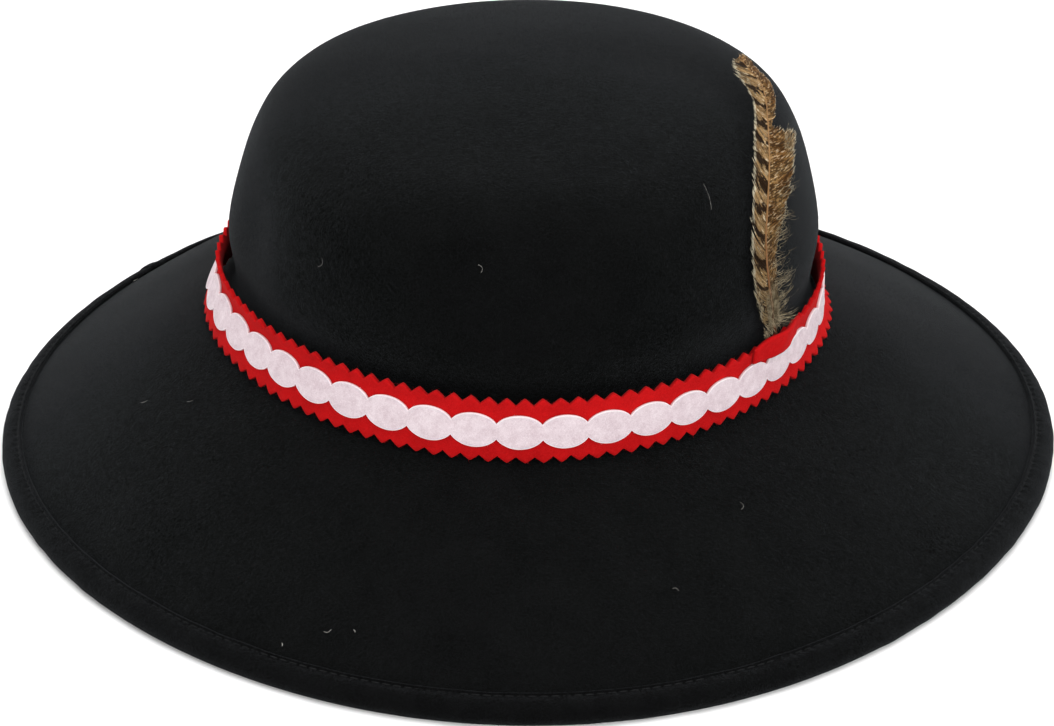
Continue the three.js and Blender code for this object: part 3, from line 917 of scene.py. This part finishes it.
def white_strip():
    ovals = round(even_angles(band_plan, 1)[1] / OVAL_PITCH)
    columns = ovals * COLUMNS_PER_OVAL
    angle, _ = even_angles(band_plan, columns, OVAL_PHASE)
    place = 2 * (np.arange(columns) % COLUMNS_PER_OVAL) / COLUMNS_PER_OVAL - 1
    cut_off = 1 - (OVAL_NECK / OVAL_HEIGHT) ** 2
    reach = OVAL_HEIGHT / 2 * np.sqrt(1 - cut_off * place**2)
    ups = reach[:, None] * WHITE_ROWS
    inside = BAND_THICKNESS / 2 + WHITE_GAP
    face = np.full(ups.shape, inside + WHITE_THICKNESS)
    face[:, [0, -1]] -= 0.1 * MM
    skin = band_point(angle[:, None], ups, 0)
    face = face + 0.05 * MM * soft_waves(skin, size=7 * MM, waves=14, seed=41)
    sections = strip_sections(angle, ups, face, inside)
    rows = sections.shape[1]
    faces = grid_faces(columns, rows, ring=True, closed=True)
    strip = make_piece("white_linked_ovals", sections, faces, white_felt)
    inset = reach[:, None] * (1 - np.abs(WHITE_ROWS))
    set_attribute(strip, "inset", np.concatenate([inset, np.zeros_like(inset)], axis=1))
    edge = np.full((columns, rows), 0.05)
    edge[:, [0, len(WHITE_ROWS) - 1]] = 1.0
    set_attribute(strip, "nap", edge)
    return strip


def white_finish():
    """The white felt: mottled with grey-pink fibres, with a brighter painted highlight along its cut
    rim.
    """
    material = felt_finish(
        "pinkish white craft felt",
        deep=(0.55, 0.43, 0.465),
        body=(0.74, 0.635, 0.665),
        bright=(0.86, 0.79, 0.81),
        pile=0.6 * MM,
        cloud=3 * MM,
        relief=0.4,
        sheen=0.05,
        sheen_tint=(1.0, 0.95, 0.97),
        gloss=0.08,
    )
    tree = material.node_tree
    shader = next(n for n in tree.nodes if n.type == "BSDF_PRINCIPLED")
    mottled = shader.inputs["Base Color"].links[0].from_socket
    # Painted highlight: a brighter colour along the cut rim, where the edge catches the light
    inset = add_node(tree, "ShaderNodeAttribute", attribute_name="inset").outputs["Fac"]
    rim = stretch_range(tree, inset, 0.1 * MM, 0.4 * MM, 1.0, 0.0)
    colour = mix_colours(tree, rim, mottled, (0.84, 0.745, 0.77, 1))
    tree.links.new(colour, shader.inputs["Base Color"])
    return material


white_felt = white_finish()
ovals = white_strip()
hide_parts("white_scallop_strip")
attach(ovals, "root")

white_hair = hair_finish("white felt hair", (0.8, 0.74, 0.76))
white_nap = grown("white_ovals_nap", ovals, nap_hairs, WHITE_NAP, white_hair)
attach(white_nap, "root")

# The patch over the quill
# A small strip of the same red felt with plain cut edges, glued down over the feather's quill so
# that its middle stands up over it.
PATCH = {
    "angle": -34.4,
    "half_length": 10.8 * MM,
    "low": 5.5 * MM,
    "high": 10.6 * MM,
    "thickness": 1.1 * MM,
    "hump": 1.9 * MM,
    "narrowing": 0.8 * MM,
    "round": 0.3 * MM,
    # Its upper edge is lower at its front end, and rises over this part of its half length
    "rise": 2.3 * MM,
    "rise_from": -1.2,
    "rise_to": -0.4,
}
PATCH_COLUMNS = 41
PATCH_ROWS = 12


def feather_patch():
    place = np.linspace(-1, 1, PATCH_COLUMNS)
    angle = math.radians(PATCH["angle"]) + place * PATCH["half_length"] / BAND["half_width"]
    high = PATCH["high"] - PATCH["narrowing"] * place**4
    high = high + PATCH["rise"] * ease(place, PATCH["rise_from"], PATCH["rise_to"])
    share = np.linspace(0, 1, PATCH_ROWS)
    ups = PATCH["low"] + (high[:, None] - PATCH["low"]) * share
    hump = PATCH["hump"] * np.cos(math.pi / 2 * place) ** 2
    inside = BAND_THICKNESS / 2 + TOUCH + np.broadcast_to(hump[:, None], ups.shape)
    face = inside + PATCH["thickness"]
    face[:, [0, -1]] -= PATCH["round"]
    face[[0, -1]] -= PATCH["round"]
    skin = band_point(angle[:, None], ups, 0)
    face = face + 0.08 * MM * soft_waves(skin, size=5 * MM, waves=10, seed=51)
    sections = strip_sections(angle, ups, face, inside[:, ::-1])
    rows = sections.shape[1]
    faces = grid_faces(PATCH_COLUMNS, rows, ring=False, closed=True)
    last = (PATCH_COLUMNS - 1) * rows
    for i in range(PATCH_ROWS - 1):
        end = [i, i + 1, rows - 2 - i, rows - 1 - i]
        faces.append(end)
        faces.append([last + corner for corner in end[::-1]])
    patch = make_piece("red_feather_patch", sections, faces, red_felt)
    edge = np.full((PATCH_COLUMNS, rows), 0.06)
    edge[:, [0, PATCH_ROWS - 1]] = 0.8
    set_attribute(patch, "nap", edge)
    return patch


patch = feather_patch()
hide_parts("feather_patch")
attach(patch, "root")

# The feather
# A barred feather from a game bird. A tapering shaft carries a vane on each side, made of fine
# barbs that hook together, with soft curly down low on the right. Its quill is glued under the
# patch, and it bends back over the crown's shoulder. The right vane is torn short near the tip.
QUILL_ANGLE = -35
# Under the feather the crown is an upright wall to its springing, and a dome over it
SPRINGING = 80 * MM
DOME = 45 * MM
# Places of the shaft in millimetres, with the widths of the vane to its left and right
SHAFT_SECTIONS = np.array([
    (70.1, -50.9, 63.4, 3.4, 4.2),
    (69.7, -53.6, 70.4, 4.5, 4.4),
    (68.4, -56.0, 80.0, 5.6, 5.0),
    (67.5, -56.0, 88.0, 5.8, 5.6),
    (67.2, -54.4, 95.0, 4.6, 6.6),
    (67.7, -50.4, 102.4, 4.7, 7.0),
    (68.4, -42.6, 109.8, 4.8, 8.2),
    (68.6, -36.0, 113.6, 4.6, 8.2),
    (68.6, -26.8, 117.2, 4.0, 9.4),
    (68.6, -24.4, 118.0, 3.9, 2.6),
    (68.4, -17.6, 120.0, 3.9, 3.4),
    (67.2, -10.0, 121.9, 6.2, 4.6),
    (64.7, -5.0, 123.0, 5.7, 5.0),
    (62.3, 0.5, 123.9, 2.9, 4.7),
    (59.1, 6.8, 124.7, 1.2, 4.4),
]) * MM
SHAFT_SAMPLES = 900
SHAFT_PLACES = np.linspace(0, len(SHAFT_SECTIONS) - 1, SHAFT_SAMPLES)
SHAFT = {
    "start": 0.5 * MM,
    "stand": 0.3 * MM,
    "thick": 0.34 * MM,
    "thin": 0.08 * MM,
    "taper": 0.8,
    "sides": 8,
}
# The sections, counted from the quill, at which the shaft and its two vanes end
TIP = {"shaft": 13.3, "left": 13.2, "right": 13.95}
# The right vane is torn off from this section up to the next ones, but for a rim
NOTCH = {"section": 8.1, "rim": 1.9 * MM}
# Waves of the left vane's torn end
TORN = {"depth": 0.9 * MM, "turn": 2400}
BAR_PITCH = 7.2 * MM
BARB = {
    "gap": 0.27 * MM,
    "width": 0.33 * MM,
    "thickness": 0.07 * MM,
    "steps": 10,
    "shortest": 0.3 * MM,
    "droop": 0.45 * MM,
    "roll": 14,
    "bow": 0.3,
    "sweep": 0.25,
    "narrowing": 0.3,
    "point": 0.85,
}
# How unevenly barbs are rooted, and end at the notch and at the tip, in millimetres
RAGGED = {"root": (-0.1, 0.1), "notch": (-0.5, 0.9), "tip": (-0.1, 0.3)}
UNEVEN_BARB = {"length": 0.035, "height": 0.13}
# How far barbs run along the shaft for each step outwards: all along the left vane, rising along
# the right one, and how much further near the tip
LEAN_LEFT = 1.45
LEAN_RIGHT = {"low": 0.5, "gain": 0.75, "from": 15 * MM, "to": 60 * MM}
LEAN_TIP = {"gain": 0.25, "from": 80 * MM}
# Barbs hang together in clumps: the chance of a break, how strongly they gather, and how much one
# clump stands longer or higher than the next
CLUMP = {"break": 0.12, "gather": 0.18, "length": 0.06, "height": 0.16}
CLUMP_TURN = {"length": 2.4, "height": 1.7}
RUFFLE = {"left": 1.0, "right": 0.5}


def feather_frame():
    """The shaft's line by its length: places, directions along, across and away, and widths."""
    points = smooth_line(SHAFT_SECTIONS[:, :3], SHAFT_PLACES)
    along = unit(np.gradient(points, axis=0))
    away = np.column_stack([
        (points[:, 0] - CROWN_MIDDLE[0]) / CROWN["half_width"] ** 2,
        (points[:, 1] - CROWN_MIDDLE[1]) / CROWN["half_length"] ** 2,
        np.maximum(0, points[:, 2] - SPRINGING) / DOME**2,
    ])
    across = unit(np.cross(along, away))
    away = np.cross(across, along)
    steps = np.linalg.norm(np.diff(points, axis=0), axis=1)
    length = np.concatenate([[0], np.cumsum(steps)])
    counts = np.arange(len(SHAFT_SECTIONS))
    widths = [np.interp(SHAFT_PLACES, counts, column) for column in SHAFT_SECTIONS[:, 3:].T]
    return length, np.column_stack([points, along, across, away, *widths])


FRAME_LENGTH, FRAME_TABLE = feather_frame()


def length_at(section):
    """The length along the shaft at a place counted in sections."""
    return float(np.interp(section, SHAFT_PLACES, FRAME_LENGTH))


SHAFT_END = length_at(TIP["shaft"])


def frame_at(length):
    """The frame's columns at lengths along the shaft, carried on straight past its start."""
    columns = [np.interp(length, FRAME_LENGTH, column) for column in FRAME_TABLE.T]
    table = np.stack(columns, axis=-1)
    table[..., :3] += table[..., 3:6] * np.minimum(length, 0)[..., None]
    return table


def on_feather(length, across, away):
    """Points given along the shaft, across it to the right, and away from the crown."""
    table = frame_at(length)
    place = table[..., :3] + table[..., 6:9] * across[..., None]
    return place + table[..., 9:12] * away[..., None]


def strand_mesh(name, paths, normals, widths, thickness, material):
    """Many thin three-sided strands, each along its own path, flat side down."""
    along = unit(np.gradient(paths, axis=1))
    aside = unit(np.cross(along, normals))
    up = np.cross(aside, along)
    left = paths - aside * widths[..., None] / 2
    right = paths + aside * widths[..., None] / 2
    ridge = paths + up * (thickness * widths / widths.max())[..., None]
    points = np.stack([left, right, ridge], axis=2)
    strands, steps = paths.shape[:2]
    one = np.array(grid_faces(steps, 3, ring=False, closed=True))
    starts = np.arange(strands) * steps * 3
    faces = (one[None] + starts[:, None, None]).reshape(-1, 4).tolist()
    last = (steps - 1) * 3
    faces += [[start, start + 1, start + 2] for start in starts.tolist()]
    faces += [[start + last + 2, start + last + 1, start + last] for start in starts.tolist()]
    return make_piece(name, points, faces, material)


def vane_barbs(side, seed):
    """The barbs of one vane: their paths, widths, and where each point lies on the feather."""
    hand = "right" if side > 0 else "left"
    random = np.random.default_rng(seed)
    count = int(SHAFT_END / BARB["gap"])
    root = np.linspace(SHAFT["start"], SHAFT_END, count)
    root = root + random.uniform(*RAGGED["root"], count) * MM
    lean = LEAN_LEFT
    if side > 0:
        rising = ease(root, LEAN_RIGHT["from"], LEAN_RIGHT["to"])
        lean = LEAN_RIGHT["low"] + LEAN_RIGHT["gain"] * rising
    lean = lean + LEAN_TIP["gain"] * ease(root, LEAN_TIP["from"], SHAFT_END)

    # A barb reaches the vane's outline where it ends, not where it is rooted, so its reach is
    # brought closer to the outline's width there step by step
    notch = length_at(NOTCH["section"])
    tip = length_at(TIP[hand])
    below = (root < notch) & (side > 0)
    limit = np.where(below, notch - BARB["shortest"], tip)
    width_column = {"left": 12, "right": 13}[hand]
    reach = frame_at(root)[:, width_column]
    for _ in range(8):
        reach = (reach + frame_at(np.minimum(root + lean * reach, limit))[:, width_column]) / 2
    frayed = (notch - root) / lean + random.uniform(*RAGGED["notch"], count) * MM
    frayed = np.maximum(NOTCH["rim"], frayed)
    reach = np.where(below, np.minimum(reach, frayed), reach)
    torn = np.where(side < 0, TORN["depth"] * np.sin(root * TORN["turn"]), 0)
    left_over = (tip - torn - root) / lean + random.uniform(*RAGGED["tip"], count) * MM
    reach = np.maximum(np.minimum(reach, left_over), BARB["shortest"])

    clump = np.cumsum(random.random(count) < CLUMP["break"])
    clump_middle = np.array([root[clump == k].mean() for k in range(clump.max() + 1)])[clump]
    gather = CLUMP["gather"] * (clump_middle - root)
    uneven = random.normal(0, UNEVEN_BARB["length"], count)
    reach = reach * (1 + uneven + CLUMP["length"] * np.sin(clump * CLUMP_TURN["length"]))
    share = np.linspace(0, 1, BARB["steps"])[None]
    out = reach[:, None] * share * (1 + BARB["bow"] - BARB["bow"] * share)
    forward = (lean * reach)[:, None] * share * (1 - BARB["sweep"] + BARB["sweep"] * share)
    length = root[:, None] + (forward + gather[:, None] * share**2)
    ruffle = random.normal(0, UNEVEN_BARB["height"], count)
    ruffle = ruffle + CLUMP["height"] * np.sin(clump * CLUMP_TURN["height"])
    lift = SHAFT["stand"] * (1 - share) - BARB["droop"] * share**2
    lift = lift + RUFFLE[hand] * ruffle[:, None] * MM * share
    widths = BARB["width"] * (1 - BARB["narrowing"] * share) * (1 - BARB["point"] * share**14)
    paths = on_feather(length, side * out, lift)
    roll = math.radians(BARB["roll"])
    table = frame_at(length)
    normals = table[..., 9:12] * math.cos(roll) + table[..., 3:6] * math.sin(roll)
    strand = random.random(count)[:, None]
    places = np.broadcast_arrays(root[:, None], side * out, side * share, strand)
    return paths, normals, np.broadcast_to(widths, length.shape), np.stack(places, axis=-1)


def set_places(piece, places, corners):
    """Writes each strand's place on the feather to its points, for the finish to follow."""
    values = np.repeat(places.reshape(-1, places.shape[-1]), corners, axis=0).astype(np.float32)
    place = piece.data.attributes.new("vane", "FLOAT_VECTOR", "POINT")
    place.data.foreach_set("vector", values[:, :3].ravel())
    set_attribute(piece, "strand", values[:, 3])


VANE_COLOURS = {
    "tan": (0.17, 0.078, 0.020, 1),
    "light tan": (0.30, 0.17, 0.06, 1),
    "pale": (0.74, 0.64, 0.46, 1),
    "cream": (0.78, 0.72, 0.54, 1),
    "olive": (0.24, 0.18, 0.09, 1),
    "paler left": (0.62, 0.47, 0.27, 1),
    "dark": (0.016, 0.007, 0.003, 1),
}


def barred_finish():
    """Brown barbs, barred dark on the left, finely mottled on the right, with cream margins."""
    settings = {"Roughness": 0.6, "Specular IOR Level": 0.04}
    material, tree, shader = new_finish("barred vane", settings)
    place = add_node(tree, "ShaderNodeAttribute", attribute_name="vane").outputs["Vector"]
    strand = add_node(tree, "ShaderNodeAttribute", attribute_name="strand").outputs["Fac"]
    axes = add_node(tree, "ShaderNodeSeparateXYZ", {"Vector": place})
    root, across, side = axes.outputs
    apart = math_node(tree, "ABSOLUTE", side)
    out = math_node(tree, "ABSOLUTE", across)
    on_right = math_node(tree, "GREATER_THAN", side, 0.0)
    # Flecks lie along the barbs: long outwards and short from one barb to the next
    flat = add_node(tree, "ShaderNodeCombineXYZ", {"X": root, "Y": across}).outputs[0]
    inputs = {"X": times(tree, root, 2.6), "Y": across}
    along_barbs = add_node(tree, "ShaderNodeCombineXYZ", inputs).outputs[0]
    broad = noise_node(tree, flat, 6 * MM)
    blots = noise_node(tree, flat, 2.2 * MM, detail=3.0, rough=0.6)
    flecks = noise_node(tree, along_barbs, 1.7 * MM, detail=3.0, rough=0.65)

    # Dark bars across the left vane, one every few millimetres, broken up by the blots
    slanted = plus(tree, root, times(tree, out, 0.7))
    turns = math_node(tree, "DIVIDE", slanted, BAR_PITCH)
    turns = plus(tree, turns, times(tree, broad, 1.1))
    turns = plus(tree, turns, times(tree, math_node(tree, "SUBTRACT", strand, 0.5), 0.1))
    bar = math_node(tree, "COSINE", times(tree, turns, 2 * math.pi))
    broken = times(tree, math_node(tree, "SUBTRACT", blots, 0.5), 6.5)
    left_bar = stretch_range(tree, plus(tree, bar, broken), 0.1, 0.5)
    left_dark = times(tree, left_bar, stretch_range(tree, apart, 0.82, 0.92, 1.0, 0.0))
    spots = stretch_range(tree, flecks, 0.56, 0.62)
    left_dark = math_node(tree, "MAXIMUM", left_dark, times(tree, spots, 0.8))

    # The right vane's mottling, with faint bars in it
    mottled = plus(tree, flecks, times(tree, bar, 0.035))
    right_dark = stretch_range(tree, mottled, 0.465, 0.54)
    right_dark = times(tree, right_dark, stretch_range(tree, apart, 0.9, 0.98, 1.0, 0.0))
    inputs = {"Factor_Float": on_right, "A_Float": left_dark, "B_Float": times(tree, right_dark, 0.8)}
    dark = add_node(tree, "ShaderNodeMix", inputs, data_type="FLOAT").outputs[0]

    # Pale flecks, cream margins, olive near the down, and a paler left vane
    pale = stretch_range(tree, flecks, 0.44, 0.36)
    low = stretch_range(tree, root, 3 * MM, 20 * MM, 1.0, 0.0)
    margin = plus(tree, apart, times(tree, on_right, -0.08))
    layers = [
        ("light tan", stretch_range(tree, broad, 0.4, 0.6)),
        ("pale", times(tree, pale, stretch_range(tree, side, -0.1, 0.1, 0.85, 0.5))),
        ("cream", stretch_range(tree, margin, 0.80, 0.90)),
        ("olive", times(tree, low, 0.5)),
        ("paler left", stretch_range(tree, side, -0.1, 0.1, 0.2, 0.0)),
    ]
    colour = VANE_COLOURS["tan"]
    for name, share in layers:
        colour = mix_colours(tree, share, colour, VANE_COLOURS[name])
    colour = shaded(tree, colour, stretch_range(tree, root, 25 * MM, 60 * MM, 0.68, 1.0))
    colour = mix_colours(tree, times(tree, dark, 0.97), colour, VANE_COLOURS["dark"])
    colour = shaded(tree, colour, stretch_range(tree, strand, 0.0, 1.0, 0.6, 1.2))
    tree.links.new(colour, shader.inputs["Base Color"])
    return material


def shaft_finish():
    """Horn, reddish brown at the quill and tan towards the tip."""
    settings = {"Roughness": 0.45, "Specular IOR Level": 0.15}
    material, tree, shader = new_finish("feather shaft", settings)
    place = object_place(tree)
    height = add_node(tree, "ShaderNodeSeparateXYZ", {"Vector": place}).outputs["Z"]
    up_shaft = stretch_range(tree, height, 66 * MM, 112 * MM)
    colour = mix_colours(tree, up_shaft, (0.12, 0.042, 0.015, 1), (0.24, 0.125, 0.045, 1))
    grain = stretch_range(tree, noise_node(tree, place, 1.5 * MM), 0.3, 0.7, 0.75, 1.15)
    tree.links.new(shaded(tree, colour, grain), shader.inputs["Base Color"])
    return material


def shaft_mesh():
    """The feather's shaft, from the quill under the patch to a fine tip."""
    quill = band_point(
        np.full(2, math.radians(QUILL_ANGLE)),
        np.array([PATCH["low"] + TOUCH, PATCH["high"]]),
        np.full(2, BAND_THICKNESS / 2 + 2 * TOUCH),
    )
    length = np.linspace(SHAFT["start"], SHAFT_END, 60)
    line = on_feather(length, np.zeros(60), np.full(60, SHAFT["stand"]))
    path = smooth_line(np.vstack([quill, line[1:]]), np.linspace(0, 60, 181))
    share = np.linspace(0, 1, len(path))
    radius = SHAFT["thick"] * (1 - share) ** SHAFT["taper"] + SHAFT["thin"]
    along = unit(np.gradient(path, axis=0))
    aside = unit(np.cross(along, (0.8, -0.6, 0.3)))
    up = np.cross(aside, along)
    sides = SHAFT["sides"]
    turn = np.arange(sides) / sides * 2 * math.pi
    ring = aside[:, None] * np.cos(turn)[:, None] + up[:, None] * np.sin(turn)[:, None]
    points = path[:, None] + ring * radius[:, None, None]
    faces = grid_faces(len(path), sides, ring=False, closed=True)
    last = (len(path) - 1) * sides
    for i in range(1, sides - 1):
        faces.append([0, i, i + 1])
        faces.append([last, last + i + 1, last + i])
    return make_piece("feather_shaft", points, faces, shaft_finish())


shaft = shaft_mesh()
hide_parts("feather")
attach(shaft, "root")

barred_vane = barred_finish()
for side, name, seed in ((-1, "feather_vane_left", 61), (1, "feather_vane_right", 62)):
    paths, normals, widths, places = vane_barbs(side, seed)
    vane = strand_mesh(name, paths, normals, widths, BARB["thickness"], barred_vane)
    set_places(vane, places, 3)
    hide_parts("feather")
    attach(vane, "root")

# The down and the frayed ends
# Soft curly strands stand out low on the right of the feather, in small tufts on its left, and
# where barbs have come unhooked. Cut bristles lie over the patch's upper edge.
DOWN = {"steps": 15, "width": 0.16 * MM, "thickness": 0.06 * MM, "stand": 0.2 * MM}
# Each tuft in millimetres and turns: how many strands, where they start along and across the
# feather, how far they go along, across and away, how wide they curl and how often they turn
TUFTS = [
    # Low on the right, round the quill, and low on the left
    (48, (6, 24), (2.4, 4.4), (-3, 4), (2, 7.4), (0, 2.5), (0.5, 1.5), (0.7, 2.2)),
    (40, (0, 9), (0.5, 3.6), (-1.5, 3), (1.0, 6.0), (0.3, 1.6), (0.1, 0.7), (0.3, 1.5)),
    (16, (12, 19), (-4.6, -3.8), (-4, 3), (-3.6, -1), (0, 1.5), (0.1, 0.7), (0.3, 1.3)),
    # Unhooked barbs along the right margin and at the notch
    (46, (24, 50), (3.6, 6), (-1, 4), (1, 5.0), (0, 1.8), (0.3, 1.0), (0.5, 2.0)),
    (24, (60, 66), (5.0, 8.0), (2.5, 7), (-0.8, 2.2), (0, 1.2), (0.1, 0.4), (0.3, 1.0)),
    # Cut bristles over the patch, and straight ones up the feather's foot
    (130, (0, 7), (-4.9, 2.4), (-3.6, -1.0), (-0.9, 0.8), (0.8, 2.0), (0.02, 0.15), (0.2, 0.6)),
    (26, (-1, 4), (0.5, 4), (-3.5, -1), (2.5, 7.5), (1.8, 3.4), (0.02, 0.15), (0.2, 0.6)),
    (110, (-1, 10), (-2.4, 3.0), (5, 12), (-0.8, 0.8), (0.2, 0.8), (0.02, 0.15), (0.2, 0.6)),
    # Barbs that stand out near the tip on the left
    (16, (84, 92), (-4.2, -3.4), (0.5, 2.5), (-2.2, -0.8), (0, 0.6), (0.05, 0.2), (0.2, 0.6)),
]


def down_strands():
    """Paths, flat directions and widths of all the loose strands."""
    random = np.random.default_rng(71)
    share = np.linspace(0, 1, DOWN["steps"])[None]
    paths = []
    for count, *ranges in TUFTS:
        *sizes, turns = [random.uniform(low, high, count)[:, None] for low, high in ranges]
        start, aside, go, out, away, curl = [size * MM for size in sizes]
        curl = curl * share
        turn = 2 * math.pi * (turns * share + random.random((count, 1)))
        length = start + go * share**1.3 + curl * np.sin(turn)
        beside = aside + out * share + curl * np.cos(turn)
        height = away * np.sin(share * math.pi * 0.5) + 0.6 * curl * np.sin(turn + 1)
        paths.append(on_feather(length, beside, height + DOWN["stand"]))
    paths = np.concatenate(paths)
    widths = DOWN["width"] * (1 - 0.75 * share) * random.uniform(0.6, 1.2, (len(paths), 1))
    normals = np.broadcast_to(unit(random.normal(size=(len(paths), 1, 3))), paths.shape)
    return paths, normals, widths


def down_finish():
    """Grey-olive and cream down, some strands browner."""
    material, tree, shader = new_finish("feather down", {"Roughness": 0.7})
    tone = noise_node(tree, object_place(tree), 1.6 * MM, detail=1.0)
    tone = stretch_range(tree, tone, 0.38, 0.62)
    colour = mix_colours(tree, tone, (0.10, 0.07, 0.03, 1), (0.42, 0.35, 0.22, 1))
    tree.links.new(colour, shader.inputs["Base Color"])
    return material


down = strand_mesh("feather_down", *down_strands(), DOWN["thickness"], down_finish())
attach(down, "root")

# Lint on the felt
# A few pale hairs, specks and an end of white thread that cling to the black felt.
LINT_STEPS = 12
LINT_STAND = 0.5 * MM
LINT_THICKNESS = 0.06 * MM
# Where each lies: angle round the hat, row up the body, length in millimetres, heading on the
# felt in degrees, and how far it bends and its width in millimetres
LINT = [
    (-47.5, 71, 8.5, 108, 0.6, 0.04),
    (158, 70, 1.0, 20, 0.2, 0.16),
    (207.5, 26, 2.0, 132, 0.2, 0.08),
    (199, 21, 2.4, 126, 0.3, 0.07),
    (243.5, 4, 1.0, 60, 0.2, 0.16),
    (247, 7, 2.2, 150, 0.6, 0.09),
    (250.5, 8, 0.9, 40, 0.2, 0.16),
    (149, 5, 5.0, 120, 0.4, 0.28),
    (290, 14, 1.8, 35, 0.6, 0.06),
    (305, 22, 2.6, 120, 0.9, 0.06),
    (262, 64, 2.4, 70, 0.8, 0.06),
    (228, 60, 3.0, 110, 0.9, 0.06),
]


def lint_strands():
    """Paths, flat directions and widths of the lint, lying just over the felt."""
    angles = np.arange(BODY_COLUMNS) / BODY_COLUMNS * 2 * math.pi
    grid = body_rows(angles)
    normals = skin_normals(grid)
    share = np.linspace(-0.5, 0.5, LINT_STEPS)[:, None]
    paths = []
    facings = []
    widths = []
    for angle, row, length, heading, bend, width in LINT:
        column = round(angle / 360 * BODY_COLUMNS) % BODY_COLUMNS
        normal = normals[column, row]
        around = unit(np.cross(normal, (0, 0, 1)))
        upward = np.cross(around, normal)
        turn = math.radians(heading)
        direction = around * math.cos(turn) + upward * math.sin(turn)
        aside = np.cross(normal, direction)
        path = grid[column, row] + normal * LINT_STAND + direction * length * MM * share
        paths.append(path + aside * bend * MM * (2 * share) ** 2)
        facings.append(np.broadcast_to(normal, path.shape))
        widths.append(np.full(LINT_STEPS, width * MM))
    return np.stack(paths), np.stack(facings), np.stack(widths)


pale_lint = hair_finish("pale lint", (0.5, 0.48, 0.45))
lint = strand_mesh("pale_lint", *lint_strands(), LINT_THICKNESS, pale_lint)
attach(lint, "root")

# The floor, the lights and the camera
# A plain white floor under a white sky, with large soft lamps, seen from in front and above.
EYE = np.array([-0.41, -1137.7, 647.4]) * MM
ELEVATION = 28.723
SENSOR_WIDTH = 36.0
LENS = 146.2
FLOOR_HALF = 12.0

floor_settings = {"Base Color": (0.9, 0.9, 0.9, 1), "Roughness": 0.8}
floor_material, _, _ = new_finish("white floor", floor_settings)
floor_mesh = bpy.data.meshes.new("floor")
floor_corners = [(-1, -1), (1, -1), (1, 1), (-1, 1)]
floor_points = [(x * FLOOR_HALF, y * FLOOR_HALF, 0) for x, y in floor_corners]
floor_mesh.from_pydata(floor_points, [], [(0, 1, 2, 3)])
floor_mesh.materials.append(floor_material)
floor = bpy.data.objects.new("floor", floor_mesh)
bpy.context.scene.collection.objects.link(floor)

# Each lamp's place and size in metres, and its power in watts
LAMPS = [
    {"name": "lamp above", "place": (0.0, 0.35, 1.5), "size": 1.4, "power": 20},
    {"name": "lamp left", "place": (-1.2, -0.9, 0.9), "size": 0.9, "power": 2.4},
    {"name": "lamp right", "place": (1.2, -1.1, 1.0), "size": 0.9, "power": 8},
    {"name": "lamp front", "place": (0.2, -1.6, 1.1), "size": 1.0, "power": 8},
]
LAMP_TARGET = (0, 0, 0.05)


def aim(item, place, target):
    """Stands a lamp at a place and turns it to look at the target."""
    direction = unit(np.array(target) - np.array(place))
    item.location = place
    pitch = math.atan2(math.hypot(direction[0], direction[1]), -direction[2])
    item.rotation_euler = (pitch, 0, math.atan2(-direction[0], direction[1]))


for lamp in LAMPS:
    data = bpy.data.lights.new(lamp["name"], "AREA")
    data.size = lamp["size"]
    data.energy = lamp["power"]
    light = bpy.data.objects.new(lamp["name"], data)
    bpy.context.scene.collection.objects.link(light)
    aim(light, lamp["place"], LAMP_TARGET)

world = bpy.data.worlds.new("white sky")
world.use_nodes = True
sky = world.node_tree.nodes["Background"]
sky.inputs["Color"].default_value = (1, 1, 1, 1)
sky.inputs["Strength"].default_value = 0.75
bpy.context.scene.world = world
bpy.context.scene.view_settings.view_transform = "Standard"

camera_data = bpy.data.cameras.new("camera")
camera_data.sensor_width = SENSOR_WIDTH
camera_data.lens = LENS
camera_data.clip_end = 50
camera = bpy.data.objects.new("camera", camera_data)
camera.location = EYE
camera.rotation_euler = (math.radians(90 - ELEVATION), 0, 0)
bpy.context.scene.collection.objects.link(camera)
bpy.context.scene.camera = camera
